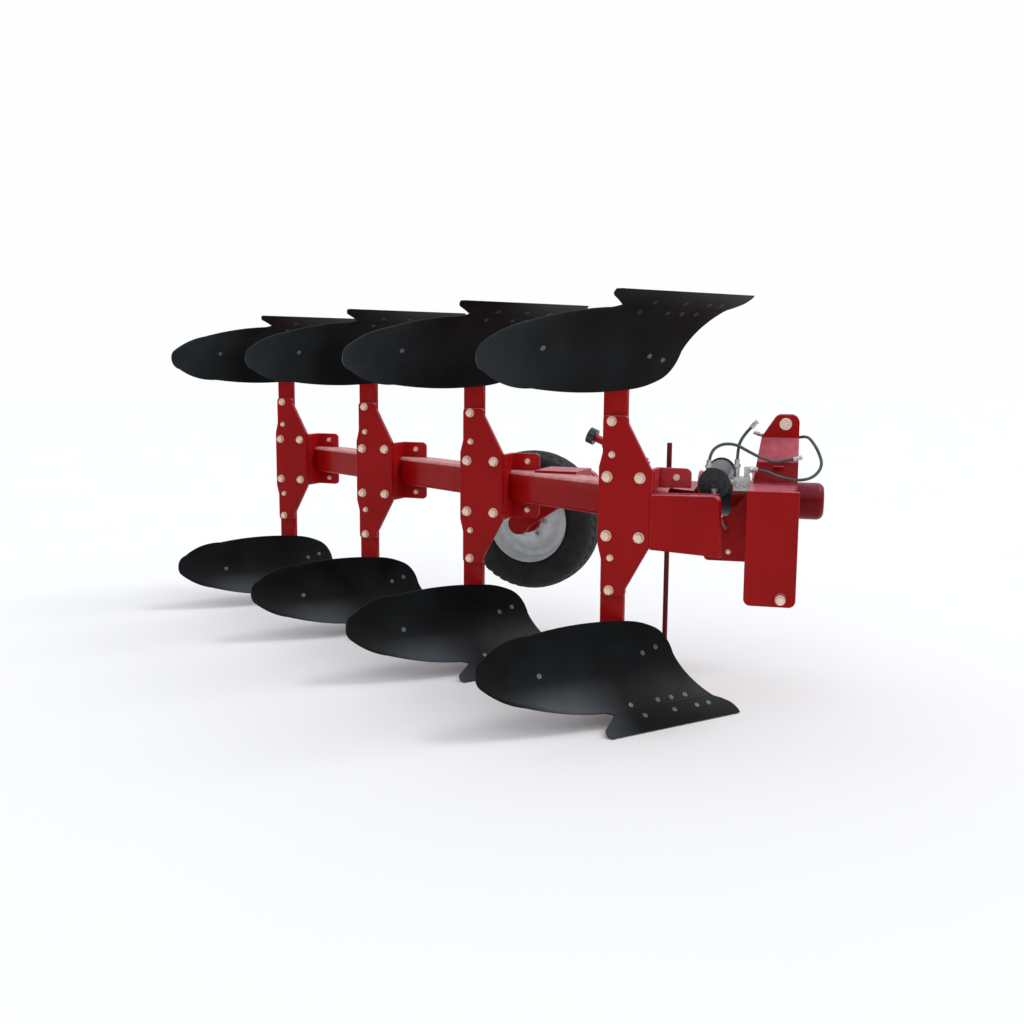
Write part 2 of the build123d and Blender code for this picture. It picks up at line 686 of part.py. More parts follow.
nodes["mast"] = on_headstock(mast + bridge - pin_bore)
top_pin = cylinder_y(
    TOP_PIN_FORWARD, TOP_PIN_Z, -MAST_HEAD_HALF, MAST_HEAD_HALF + TOP_PIN_PAST_EAR, TOP_PIN_DIAMETER
)
top_head = cylinder_y(
    TOP_PIN_FORWARD, TOP_PIN_Z, -MAST_HEAD_HALF - PIN_HEAD_THICK, -MAST_HEAD_HALF, PIN_HEAD_DIAMETER
)
nodes["top_link_pin"] = on_headstock(top_pin + top_head)


def hose(label, points):
    """Hose along straight runs with a tangent arc at each corner."""
    corners = [Vector(*point) for point in points]
    radii = []
    for before, corner, after in zip(corners, corners[1:], corners[2:]):
        half_turn = math.radians((corner - before).get_angle(after - corner)) / 2
        shorter = min((corner - before).length, (after - corner).length)
        radii.append(ARC_SHARE * shorter / math.tan(half_turn))
    print(label, "bend radii", [round(radius) for radius in radii])
    path = FilletPolyline(*corners, radius=radii)
    section = Plane(origin=path @ 0, z_dir=path % 0) * Circle(HOSE_DIAMETER / 2)
    return sweep(section, path=path)


def coupling(points, length):
    """Round coupling that carries on from the last run of a hose."""
    last = Vector(*points[-1])
    run = last - Vector(*points[-2])
    body = Cylinder(COUPLING_DIAMETER / 2, length, align=(Align.CENTER, Align.CENTER, Align.MIN))
    return Plane(origin=last, z_dir=run) * body


for label, route in HOSE_ROUTES.items():
    nodes[label] = on_headstock(hose(label, route))

block = box_between((BLOCK_REAR, CROSS_REAR), (BLOCK_RIGHT, BLOCK_LEFT), (BLOCK_BOTTOM, BLOCK_TOP))
free_start = HOSE_ROUTES["hose_free"][0]
loop_start = HOSE_ROUTES["hose_loop"][0]
block = block + port(free_start, free_start[2] - BLOCK_TOP)
elbow_half = FITTING_DIAMETER / 2
elbow = box_between(
    (loop_start[0] - 2 * elbow_half, loop_start[0]),
    (loop_start[1] - elbow_half, loop_start[1] + elbow_half),
    (BLOCK_TOP, loop_start[2] + elbow_half),
)
nodes["valve_block"] = on_headstock(block + elbow)
couplings = [
    coupling(HOSE_ROUTES[label], COUPLING_LENGTH)
    for label in ("hose_ram", "hose_free", "hose_loop")
]
nodes["hose_couplings"] = on_headstock(Compound(children=[s for c in couplings for s in c.solids()]))
drop_coupling = coupling(HOSE_ROUTES["hose_drop"], DROP_COUPLING_LENGTH)
nodes["headstock_gusset_right"] = nodes["headstock_gusset_right"] + on_headstock(drop_coupling)
rest = box_between(
    (HOSE_REST_REAR, HOSE_REST_FRONT),
    (-MAST_KNEE_HALF - HOSE_REST_DEPTH, -MAST_KNEE_HALF),
    (MAST_KNEE_Z - HOSE_REST_DROP - HOSE_REST_THICK, MAST_KNEE_Z - HOSE_REST_DROP),
)
nodes["hose_rest"] = on_headstock(rest) - nodes["mast"]

# Depth wheel
carrier = cylinder_y(PIVOT_X, PIVOT_Z, beam_line_y(PIVOT_X), CARRIER_END_Y, CARRIER_DIAMETER)
gusset_rear = PIVOT_X - GUSSET_BEHIND
gusset_front = PIVOT_X + GUSSET_AHEAD
gusset_points = [
    (gusset_rear, -GUSSET_HALF), (gusset_front, -GUSSET_HALF),
    (gusset_front, GUSSET_HALF), (gusset_rear, GUSSET_HALF),
]
gusset = plate_xz(gusset_points, beam_line_y((gusset_rear + gusset_front) / 2), GUSSET_END_Y)
pivot_end_y = CARRIER_END_Y + ARM_GAP + ARM_WIDTH + PIVOT_PAST_ARM
pivot = cylinder_y(PIVOT_X, PIVOT_Z, CARRIER_END_Y, pivot_end_y, PIVOT_DIAMETER)
nodes["wheel_carrier"] = carrier + gusset + pivot - beam_envelope

arm_y = (CARRIER_END_Y + ARM_GAP, CARRIER_END_Y + ARM_GAP + ARM_WIDTH)
arm_run = math.hypot(WHEEL_X - PIVOT_X, WHEEL_Z - PIVOT_Z)
arm_tilt = math.degrees(math.atan2(WHEEL_Z - PIVOT_Z, WHEEL_X - PIVOT_X))
arm_bar = Pos(PIVOT_X, arm_y[0], PIVOT_Z) * Rot(0, -arm_tilt, 0) * Box(
    arm_run, ARM_WIDTH, ARM_DEPTH, align=(Align.MIN, Align.MIN, Align.CENTER)
)
arm_boss = cylinder_y(PIVOT_X, PIVOT_Z, arm_y[0], arm_y[1], ARM_BOSS_DIAMETER)
axle_boss = cylinder_y(WHEEL_X, WHEEL_Z, arm_y[0], arm_y[1], ARM_BOSS_DIAMETER)
axle_end = WHEEL_Y + HUB_INNER - HUB_CAP_WALL - AXLE_END_GAP
axle = cylinder_y(WHEEL_X, WHEEL_Z, arm_y[1], axle_end, AXLE_DIAMETER)
pivot_bore = cylinder_y(
    PIVOT_X, PIVOT_Z, arm_y[0] - 1, arm_y[1] + 1, PIVOT_DIAMETER + 2 * SHAFT_CLEARANCE
)
nodes["wheel_arm"] = arm_bar + arm_boss + axle_boss + axle - pivot_bore

def ring(half_profile):
    """Ring about the wheel's axis from an outline of (radius, across) points."""
    return revolve(make_face(Polyline(*half_profile, close=True)), axis=Axis.Y)


half = TYRE_WIDTH / 2
tyre_side = [
    (TYRE_BEAD_RADIUS, TYRE_BEAD_HALF),
    (TYRE_BULGE_RADIUS - TYRE_WALL_BELOW, half - TYRE_WALL_DRAW),
    (TYRE_BULGE_RADIUS, half),
    (TYRE_BULGE_RADIUS + TYRE_WALL_ABOVE, half - TYRE_WALL_DRAW),
    (TYRE_SHOULDER_RADIUS, TYRE_SHOULDER_HALF),
    (TYRE_RADIUS - TYRE_TREAD_DROP, TYRE_TREAD_HALF),
    (TYRE_RADIUS, TYRE_CROWN_HALF),
]
tyre = ring(tyre_side + [(radius, -across) for radius, across in reversed(tyre_side)])
nodes["wheel_tyre"] = Pos(WHEEL_X, WHEEL_Y, WHEEL_Z) * tyre

seat_inner = TYRE_BEAD_RADIUS - RIM_WALL
rim = ring([
    (HUB_RADIUS, DISC_FACE), (DISC_RADIUS, DISC_FACE), (RIM_WELL_RADIUS, RIM_WELL_FACE),
    (seat_inner, RIM_WELL_FACE - RIM_WELL_HALF), (seat_inner, -RIM_FLANGE_HALF),
    (TYRE_BEAD_RADIUS, -RIM_FLANGE_HALF), (TYRE_BEAD_RADIUS, RIM_FLANGE_HALF),
    (seat_inner, RIM_FLANGE_HALF), (seat_inner, RIM_SEAT_BACK), (RIM_WELL_RADIUS, RIM_WELL_BACK),
    (DISC_RADIUS, DISC_FACE + DISC_WALL), (HUB_RADIUS, DISC_FACE + DISC_WALL),
])
hub_outer = cylinder_y(0, 0, HUB_OUTER, HUB_INNER, 2 * HUB_RADIUS)
hub_bore = cylinder_y(
    0, 0, HUB_OUTER - 1, HUB_INNER - HUB_CAP_WALL, AXLE_DIAMETER + 2 * SHAFT_CLEARANCE
)
hub = hub_outer - hub_bore
nodes["wheel_rim"] = Pos(WHEEL_X, WHEEL_Y, WHEEL_Z) * rim
nodes["wheel_hub"] = Pos(WHEEL_X, WHEEL_Y, WHEEL_Z) * hub

# Furrow width adjuster
lean = math.degrees(math.atan2(
    ADJUSTER_REAR_Z - ADJUSTER_FRONT_Z, ADJUSTER_FRONT_X - ADJUSTER_REAR_X
))
spindle_run = math.hypot(ADJUSTER_FRONT_X - ADJUSTER_REAR_X, ADJUSTER_REAR_Z - ADJUSTER_FRONT_Z)
spindle = cylinder_x(0, 0, 0, spindle_run, ADJUSTER_DIAMETER)
tube = cylinder_x(
    0, 0, ADJUSTER_TUBE_START, ADJUSTER_TUBE_START + ADJUSTER_TUBE_LENGTH, ADJUSTER_TUBE_DIAMETER
)
knob = cylinder_x(0, 0, -ADJUSTER_CAP_LENGTH / 2, ADJUSTER_CAP_LENGTH / 2, ADJUSTER_CAP_DIAMETER)
adjuster_place = Pos(ADJUSTER_REAR_X, ADJUSTER_Y, ADJUSTER_REAR_Z) * Rot(0, lean, 0)
adjuster = adjuster_place * (spindle + tube)
plate_y = (ADJUSTER_Y - ADJUSTER_PLATE_HALF, ADJUSTER_Y + ADJUSTER_PLATE_HALF)
for x_limits in (ADJUSTER_POST_X, ADJUSTER_LUG_X):
    middle = (x_limits[0] + x_limits[1]) / 2
    axis_z = ADJUSTER_REAR_Z - (middle - ADJUSTER_REAR_X) * math.tan(math.radians(lean))
    adjuster = adjuster + box_between(x_limits, plate_y, (0, axis_z))
nodes["width_adjuster"] = adjuster - beam_envelope
nodes["adjuster_knob"] = adjuster_place * knob - nodes["width_adjuster"]

# Parking stand
socket = box_between(
    (STAND_FORWARD - SOCKET_SIDE / 2, MEMBER_REAR),
    (STAND_ACROSS - SOCKET_SIDE / 2, STAND_ACROSS + SOCKET_SIDE / 2),
    (SOCKET_BOTTOM, SOCKET_TOP),
)
rod_bore = Pos(STAND_FORWARD, STAND_ACROSS, SOCKET_BOTTOM - 1) * Cylinder(
    STAND_DIAMETER / 2 + STAND_CLEARANCE, SOCKET_TOP - SOCKET_BOTTOM + 2,
    align=(Align.CENTER, Align.CENTER, Align.MIN),
)
nodes["stand_socket"] = on_headstock(socket - rod_bore) - beam_envelope
rod = Pos(STAND_FORWARD, STAND_ACROSS, -SOLE_DEPTH) * Cylinder(
    STAND_DIAMETER / 2, SOLE_DEPTH + STAND_TOP, align=(Align.CENTER, Align.CENTER, Align.MIN)
)
foot = Pos(STAND_FORWARD, STAND_ACROSS, -SOLE_DEPTH) * Cylinder(
    STAND_FOOT_DIAMETER / 2, STAND_FOOT_THICK, align=(Align.CENTER, Align.CENTER, Align.MIN)
)
nodes["parking_stand"] = on_headstock(rod + foot)

# The model stands with its soles at z = 0, centred on its own box
whole = Compound(children=[s for shape in nodes.values() for s in shape.solids()])
box = whole.bounding_box()
shift = Pos(-(box.min.X + box.max.X) / 2, -(box.min.Y + box.max.Y) / 2, -box.min.Z)

for name, shape in nodes.items():
    solids = (shift * shape).solids()
    piece = solids[0] if len(solids) == 1 else Compound(children=list(solids))
    export_step(piece, f"parts/{name}.step")
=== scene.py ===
"""Looks of a mounted four-furrow reversible plough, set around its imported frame."""

import json
import logging
import math
from dataclasses import dataclass, field
from enum import Enum
from typing import Callable, Optional, Sequence

import bmesh
import bpy
import numpy as np
from mathutils import Matrix, Vector


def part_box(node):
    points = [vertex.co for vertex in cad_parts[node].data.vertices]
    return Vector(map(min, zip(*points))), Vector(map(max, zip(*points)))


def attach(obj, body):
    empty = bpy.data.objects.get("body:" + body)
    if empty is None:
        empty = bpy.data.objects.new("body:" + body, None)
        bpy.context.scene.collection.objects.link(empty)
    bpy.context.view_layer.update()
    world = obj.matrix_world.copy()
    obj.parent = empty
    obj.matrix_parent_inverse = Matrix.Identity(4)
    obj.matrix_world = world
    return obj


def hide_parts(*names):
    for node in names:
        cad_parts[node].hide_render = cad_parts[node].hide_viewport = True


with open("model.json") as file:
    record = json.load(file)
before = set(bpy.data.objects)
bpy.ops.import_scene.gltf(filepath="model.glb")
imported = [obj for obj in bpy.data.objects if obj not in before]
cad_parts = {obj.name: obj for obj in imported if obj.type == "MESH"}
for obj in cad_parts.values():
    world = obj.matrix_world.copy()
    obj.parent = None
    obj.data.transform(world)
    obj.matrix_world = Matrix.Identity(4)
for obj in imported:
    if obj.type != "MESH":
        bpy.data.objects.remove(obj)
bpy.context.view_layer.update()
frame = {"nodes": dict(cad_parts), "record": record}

LOG = logging.getLogger("plough")
TAU = 2 * math.pi
Colour = tuple[float, float, float]
Grain = tuple[float, float]
Span = tuple[float, float]
Profile = Sequence[tuple[float, float]]
Socket = bpy.types.NodeSocket


class Row(Enum):
    """The two rows of bodies, and which way is down for each."""

    LOWER = 1
    UPPER = -1


@dataclass(frozen=True)
class Layout:
    """Where the stations stand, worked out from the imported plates.

    The front standard's rear bolt line is x = 0, its outer face is y = 0 and the
    turnover axis is z = 0.
    """

    plate_rear: float = -0.037
    headstock_origin: tuple[float, float] = (0.592, 0.543)
    headstock_yaw: float = math.radians(8.5)
    stations: int = 4

    def origin(self) -> np.ndarray:
        """Where the station zero of the front standard lies in the row frame."""
        low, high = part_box("standard_plate_1")
        return np.array([low.x - self.plate_rear, low.y, (low.z + high.z) / 2])

    def step(self) -> np.ndarray:
        """Way from one station to the next one behind it."""
        first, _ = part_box("standard_plate_1")
        second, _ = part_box("standard_plate_2")
        return np.array(second) - np.array(first)

    def station(self, index: int, points: np.ndarray) -> np.ndarray:
        """Points of the front station moved to another one.

        Args:
            index: Station, counted from the front.
            points: Array (n, 3) in metres about the front station's zero.

        Returns:
            The points in the row frame.
        """
        return points + self.origin() + self.step() * index

    def headstock(self, points: np.ndarray) -> np.ndarray:
        """Points given ahead, across and up in the headstock, put in the row frame.

        Args:
            points: Array (n, 3) in metres about the headstock's own zero.

        Returns:
            The points in the row frame.
        """
        cos, sin = math.cos(self.headstock_yaw), math.sin(self.headstock_yaw)
        rotated = np.column_stack([
            points[:, 0] * cos - points[:, 1] * sin,
            points[:, 0] * sin + points[:, 1] * cos,
            points[:, 2],
        ])
        return rotated + self.origin() + np.array([*self.headstock_origin, 0.0])


LAYOUT = Layout()


class Nodes:
    """Short ways to add nodes to a tree."""

    def __init__(self, tree: bpy.types.NodeTree) -> None:
        """Work on that tree."""
        self.tree = tree

    def add(self, kind: str, settings: Optional[dict] = None, **inputs: object) -> bpy.types.Node:
        """Add a node.

        Args:
            kind: Its type, without the ShaderNode prefix.
            settings: Properties of the node itself.
            inputs: Sockets by name, each a number, a colour or an output to link.

        Returns:
            The node.
        """
        node = self.tree.nodes.new("ShaderNode" + kind)
        for key, value in (settings or {}).items():
            setattr(node, key, value)
        for key, value in inputs.items():
            self.put(node.inputs[key.replace("_", " ")], value)
        return node

    def put(self, socket: Socket, value: object) -> None:
        """Link an output to a socket, or set the socket to a number or colour."""
        if isinstance(value, Socket):
            self.tree.links.new(value, socket)
        elif isinstance(value, tuple) and len(value) == 3 and socket.type == "RGBA":
            socket.default_value = (*value, 1.0)
        else:
            socket.default_value = value

    def ramp(self, value: Socket, low: float, high: float, start: float, end: float) -> Socket:
        """Value between low and high spread onto start to end, held at both ends."""
        node = self.add("MapRange", Value=value, From_Min=low, From_Max=high, To_Min=start, To_Max=end)
        return node.outputs["Result"]


class Graph(Nodes):
    """A material with a Principled shader and short ways to shade it."""

    def __init__(self, name: str) -> None:
        """Start an empty material of that name."""
        self.material = bpy.data.materials.new(name)
        self.material.use_nodes = True
        super().__init__(self.material.node_tree)
        self.shader = self.tree.nodes["Principled BSDF"]
        self.coordinates = self.add("TexCoord").outputs["Object"]

    def noise(self, scale: float, octaves: float, vector: Optional[Socket] = None) -> Socket:
        """Noise from 0 to 1, of so many features a metre in object space, or a unit of a vector."""
        place = self.coordinates if vector is None else vector
        return self.add("TexNoise", Vector=place, Scale=scale, Detail=octaves).outputs["Fac"]

    def patches(
        self, grain: Grain, start: float = 0.0, end: float = 1.0, low: float = 0.35, high: float = 0.7,
    ) -> Socket:
        """Patches of noise: its values between low and high spread onto start to end.

        Args:
            grain: Features a metre, and octaves.
            start: Value of the calm places.
            end: Value of the patches.
            low: Noise that gives start.
            high: Noise that gives end.

        Returns:
            The value's output.
        """
        return self.ramp(self.noise(*grain), low, high, start, end)

    def mix(self, share: object, first: object, second: object) -> Socket:
        """Colour mixed from two by a share."""
        node = self.tree.nodes.new("ShaderNodeMix")
        node.data_type = "RGBA"
        for index, value in ((0, share), (6, first), (7, second)):
            self.put(node.inputs[index], value)
        return node.outputs[2]

    def maths(self, operation: str, first: object, second: object) -> Socket:
        """One sum on two values."""
        node = self.add("Math", {"operation": operation, "use_clamp": True})
        self.put(node.inputs[0], first)
        self.put(node.inputs[1], second)
        return node.outputs[0]

    def facing_up(self) -> Socket:
        """How far a surface faces upwards, from -1 to 1."""
        normal = self.add("NewGeometry").outputs["Normal"]
        return self.add("SeparateXYZ", Vector=normal).outputs["Z"]

    def bump(self, strength: float, distance: float, *grains: Grain) -> None:
        """Chain bumps of noises of these grains into the shader's normal."""
        normal = None
        for grain in grains:
            node = self.add("Bump", Strength=strength, Distance=distance, Height=self.noise(*grain))
            if normal is not None:
                self.put(node.inputs["Normal"], normal)
            normal = node.outputs["Normal"]
        self.put(self.shader.inputs["Normal"], normal)

    def set(self, **inputs: object) -> None:
        """Set the shader's sockets by name."""
        for key, value in inputs.items():
            self.put(self.shader.inputs[key.replace("_", " ")], value)


@dataclass(frozen=True)
class Paint:
    """Deep red machine paint: even gloss, faint orange peel, and a paler pink where it faces up that is
    partly dust and partly painted sheen.
    """

    name: str = "frame_paint"
    deep: Colour = (0.300, 0.0028, 0.0030)
    bright: Colour = (0.365, 0.0042, 0.0046)
    dust_and_sheen: Colour = (0.640, 0.190, 0.255)
    sheen_everywhere: float = 0.0
    dust_and_sheen_slope: Span = (0.20, 0.85)
    dust_and_sheen_cover: Span = (0.45, 0.85)
    roughness: Span = (0.24, 0.40)
    blotches: Grain = (3.0, 5.0)
    grit: Grain = (24.0, 8.0)
    wear: Grain = (14.0, 6.0)
    orange_peel: Grain = (260.0, 2.0)
    waves: Grain = (9.0, 3.0)

    def build(self) -> bpy.types.Material:
        """Return the material."""
        g = Graph(self.name)
        body = g.mix(g.patches(self.blotches), self.deep, self.bright)
        # Upward faces turn pale pink: partly dust, partly a painted sheen standing in for the sky's
        # reflection; the least share lays it on every face.
        up = g.ramp(g.facing_up(), *self.dust_and_sheen_slope, self.sheen_everywhere, 1.0)
        dust_and_sheen_share = g.maths("MULTIPLY", up, g.patches(self.grit, *self.dust_and_sheen_cover, low=0.25))
        g.set(Base_Color=g.mix(dust_and_sheen_share, body, self.dust_and_sheen))
        g.set(Roughness=g.patches(self.wear, *self.roughness, low=0.3, high=0.75))
        g.set(Coat_Weight=0.05, Coat_Roughness=0.10, Specular_IOR_Level=0.09)
        g.bump(0.10, 0.0006, self.orange_peel, self.waves)
        return g.material


@dataclass(frozen=True)
class BodyBlack:
    """Satin black of the soil-working surfaces, with faint streaks along the furrow, a painted blue-grey
    highlight low in the middle of the lower bodies and painted light at the tails of the upper ones.

    It reads three values of each point: how far along the edge it lies, its height,
    and 1 on a lower body or 0 on an upper one.
    """

    name: str = "body_black"
    dark: Colour = (0.0030, 0.0032, 0.0034)
    cold: Colour = (0.0066, 0.0092, 0.0100)
    streak: Colour = (0.022, 0.025, 0.028)
    painted_sheen: Colour = (0.068, 0.077, 0.092)
    # Colour of the painted light on the upper bodies' tails.
    pale: Colour = (0.027, 0.034, 0.037)
    roughness: Span = (0.31, 0.44)
    sheen_along: tuple = (0.50, 0.72, 0.84, 1.02)
    sheen_height: Span = (0.07, 0.19)
    lit_tail_along: Span = (0.70, 1.10)
    least_lit_tail: float = 0.55
    streak_noise: Span = (0.62, 0.80)
    streak_share: float = 0.5
    streak_grain: Grain = (4.0, 6.0)
    clouds: Grain = (4.5, 4.0)
    wear: Grain = (5.0, 5.0)
    grit: Grain = (60.0, 3.0)
    waves: Grain = (6.0, 2.0)
    drawn_out: tuple = (1.4, 34.0, 1.0)

    def build(self) -> bpy.types.Material:
        """Return the material."""
        g = Graph(self.name)
        place = g.add("Attribute", {"attribute_name": "rolled"}).outputs["Vector"]
        along, height, lower = g.add("SeparateXYZ", Vector=place).outputs
        clouds = g.patches(self.clouds)
        base = g.mix(clouds, self.dark, self.cold)
        # Painted light: the tails of the upper bodies lighten in patches towards their ends.
        tail = g.ramp(along, *self.lit_tail_along, 0.0, 1.0)
        tail = g.maths("MULTIPLY", tail, g.maths("SUBTRACT", 1.0, lower))
        tail = g.maths("MULTIPLY", tail, g.ramp(clouds, 0.0, 1.0, self.least_lit_tail, 1.0))
        base = g.mix(tail, base, self.pale)
        drawn = g.add("Mapping", Vector=place, Scale=self.drawn_out).outputs["Vector"]
        lines = g.noise(*self.streak_grain, drawn)
        base = g.mix(g.ramp(lines, *self.streak_noise, 0.0, self.streak_share), base, self.streak)
        # Painted highlight: a blue-grey patch low in the middle of the lower bodies, standing in for the
        # sky's reflection.
        start, full, fall, end = self.sheen_along
        sheen = g.maths("MULTIPLY", g.ramp(along, start, full, 0.0, 1.0), g.ramp(along, fall, end, 1.0, 0.0))
        sheen = g.maths("MULTIPLY", sheen, g.ramp(height, *self.sheen_height, 1.0, 0.0))
        g.set(Base_Color=g.mix(g.maths("MULTIPLY", sheen, lower), base, self.painted_sheen))
        g.set(Roughness=g.patches(self.wear, *self.roughness, low=0.3), Specular_IOR_Level=0.09)
        g.bump(0.10, 0.0008, self.grit, self.waves)
        return g.material


@dataclass(frozen=True)
class Metal:
    """Bare or plated steel with a grain of fine spots."""

    name: str
    base: Colour
    tint: Colour
    roughness: Span
    metallic: float = 1.0
    spots: float = 90.0

    def build(self) -> bpy.types.Material:
        """Return the material."""
        g = Graph(self.name)
        g.set(Base_Color=g.mix(g.patches((self.spots, 5.0)), self.base, self.tint), Metallic=self.metallic)
        g.set(Roughness=g.patches((self.spots * 0.4, 3.0), *self.roughness, low=0.3))
        g.bump(0.15, 0.0004, (self.spots * 3.0, 2.0))
        return g.material


@dataclass(frozen=True)
class Rubber:
    """Weathered rubber, greyer and duller in broad patches."""

    name: str
    black: Colour
    grey: Colour
    roughness: Span = (0.58, 0.80)
    weathering: Grain = (11.0, 6.0)
    wear: Grain = (40.0, 4.0)
    grit: Grain = (240.0, 3.0)

    def build(self) -> bpy.types.Material:
        """Return the material."""
        g = Graph(self.name)
        g.set(Base_Color=g.mix(g.patches(self.weathering, high=0.72), self.black, self.grey))
        g.set(Roughness=g.patches(self.wear, *self.roughness, low=0.3), Specular_IOR_Level=0.35)
        g.bump(0.2, 0.0006, self.grit)
        return g.material


RED = Paint()
# Brighter copy of the red for the front console, with a painted pink sheen laid over every face: painted
# light.
LIT_SHEEN_RED = Paint("front_console_sheen_paint", (0.400, 0.0045, 0.0060), (0.460, 0.0060, 0.0080), (0.66, 0.21, 0.27), 0.22)
# Brighter copy of the red for the consoles: painted light that lifts the shadow the plates cast on them.
LIT_TAB_RED = Paint("console_lit_paint", (0.400, 0.0045, 0.0060), (0.460, 0.0060, 0.0080))
# The beam's pale pink top, from the up-facing colour over a low slope, is a painted highlight with some dust.
BEAM_RED = Paint("beam_paint", dust_and_sheen=(0.80, 0.38, 0.37), dust_and_sheen_slope=(0.0, 0.35), dust_and_sheen_cover=(0.55, 0.95))
DARK_RED = Paint("stand_paint", (0.120, 0.0080, 0.0090), (0.170, 0.0200, 0.0170))
# Darker copy of the red for the bearing nose, in painted shade; its third colour is painted sheen on the top.
SHADED_RED = Paint("bearing_paint", (0.160, 0.0028, 0.0032), (0.190, 0.0034, 0.0044), (0.240, 0.040, 0.070))
BLACK = BodyBlack()
ZINC = Metal("zinc_plate", (0.95, 0.71, 0.57), (0.80, 0.60, 0.48), (0.28, 0.46), 0.55)
DULL_BOLT = Metal("body_bolts", (0.150, 0.160, 0.165), (0.080, 0.088, 0.092), (0.38, 0.56), 0.6)
# Near-black copy of the bolt metal for the upper row's share bolts, which face down: painted shade.
SHADED_BOLT = Metal("share_bolts_shaded", (0.020, 0.022, 0.023), (0.012, 0.013, 0.014), (0.42, 0.60), 0.2)
SILVER = Metal("rim_silver", (0.80, 0.92, 0.92), (0.64, 0.75, 0.76), (0.34, 0.52), 0.30, 30.0)
FITTING = Metal("fitting_zinc", (0.62, 0.64, 0.62), (0.48, 0.50, 0.48), (0.26, 0.44), 0.85)
HYDRAULIC = Metal("hydraulic_black", (0.010, 0.011, 0.013), (0.018, 0.020, 0.023), (0.22, 0.40), 0.0, 20.0)
TYRE = Rubber("tyre_rubber", (0.009, 0.011, 0.011), (0.022, 0.025, 0.025))
HOSE = Rubber("hose_rubber", (0.040, 0.052, 0.046), (0.105, 0.130, 0.118), (0.32, 0.54))
# Pale grey rubber of the drop hose stands in for the sky's reflection on it: painted reflection.
SHEEN_HOSE = Rubber("hose_sky_sheen", (0.110, 0.110, 0.120), (0.190, 0.190, 0.205), (0.30, 0.52))


class Finishes:
    """Every material of the plough, each made once."""

    def __init__(self) -> None:
        """Build them."""
        finishes = (
            RED, LIT_SHEEN_RED, LIT_TAB_RED, BEAM_RED, DARK_RED, SHADED_RED, BLACK, ZINC, DULL_BOLT, SHADED_BOLT,
            SILVER, FITTING, HYDRAULIC, TYRE, HOSE, SHEEN_HOSE,
        )
        self.made = {finish.name: finish.build() for finish in finishes}

    def dress(self, piece: bpy.types.Object, finish: object) -> None:
        """Give a piece one finish all over."""
        piece.data.materials.clear()
        piece.data.materials.append(self.made[finish.name])


FINISHES = Finishes()


def grid_faces(rows: int, columns: int, wrap: bool = True) -> np.ndarray:
    """Quads of a grid of rows by columns, numbered row by row.

    Args:
        rows: Rows of points.
        columns: Points in a row.
        wrap: Whether a row closes on itself.

    Returns:
        Array (n, 4) of point numbers.
    """
    across = columns if wrap else columns - 1
    row, column = np.meshgrid(np.arange(rows - 1), np.arange(across), indexing="ij")
    after = (column + 1) % columns
    return np.stack([
        row * columns + column, row * columns + after,
        (row + 1) * columns + after, (row + 1) * columns + column,
    ], axis=-1).reshape(-1, 4)


@dataclass
class Shell:
    """Points and faces of a mesh on their way to Blender."""

    points: np.ndarray
    faces: list
    marks: Optional[np.ndarray] = None

    def moved(self, change: Callable[[np.ndarray], np.ndarray]) -> "Shell":
        """The same faces over points changed by a function."""
        return Shell(change(self.points), self.faces, self.marks)


def joined(shells: Sequence[Shell]) -> Shell:
    """Several shells as one, with their faces renumbered."""
    faces, start = [], 0
    for shell in shells:
        faces += [[index + start for index in face] for face in shell.faces]
        start += len(shell.points)
    return Shell(np.vstack([shell.points for shell in shells]), faces)


def at_stations(shell: Shell) -> list[Shell]:
    """A front station's shell carried to each station, front to rear."""
    return [
        shell.moved(lambda points, index=index: LAYOUT.station(index, points))
        for index in range(LAYOUT.stations)
    ]


def at_bodies(shell: Shell) -> list[tuple[Row, str, Shell]]:
    """A lower front body's shell carried to all eight, with its row and its ending."""
    carried = []
    for row in Row:
        side = shell.moved(lambda points, row=row: points * (1, 1, row.value))
        for number, moved in enumerate(at_stations(side), 1):
            carried.append((row, f"{row.name.lower()}_{number}", moved))
    return carried


def ring_shell(rings: np.ndarray) -> Shell:
    """Closed shell over stacked rings, with a flat face on the first and last ring.

    Args:
        rings: Array (rings, points, 3), each ring going the same way round.

    Returns:
        The shell.
    """
    rows, columns, _ = rings.shape
    faces = grid_faces(rows, columns).tolist()
    faces.append(list(range(columns))[::-1])
    faces.append(list(range((rows - 1) * columns, rows * columns)))
    return Shell(rings.reshape(-1, 3), faces)


def turned(profile: Profile, segments: int = 28, sides: int = 0) -> Shell:
    """Solid of revolution about +Z, or a prism of that profile with flat sides.

    Each profile point (radius, height) becomes a ring. With sides, a ring's radius
    at an angle is the apothem over the cosine of the angle to the nearest flat.

    Args:
        profile: Radii and heights from the bottom up.
        segments: Points in a ring.
        sides: Number of flats, or 0 for round.

    Returns:
        The shell.
    """
    angle = np.arange(segments) * TAU / segments
    swell = np.ones(segments)
    if sides:
        pitch = TAU / sides
        swell = 1 / np.cos((angle % pitch) - pitch / 2)
    radius = np.array([r for r, _ in profile])[:, None] * swell[None, :]
    height = np.broadcast_to(np.array([h for _, h in profile])[:, None], radius.shape)
    rings = np.stack([radius * np.cos(angle), radius * np.sin(angle), height], axis=-1)
    return ring_shell(rings)


def hexagon(profile: Profile) -> Shell:
    """Six-sided prism about +Z from its apothems and heights."""
    return turned(profile, 36, 6)


def placed(shell: Shell, at: Sequence[float], axis: Sequence[float]) -> Shell:
    """Shell whose +Z is turned to an axis and whose zero is put at a point."""
    turn = np.array(Vector(axis).to_track_quat("Z", "Y").to_matrix())
    return shell.moved(lambda points: points @ turn.T + np.array(at))


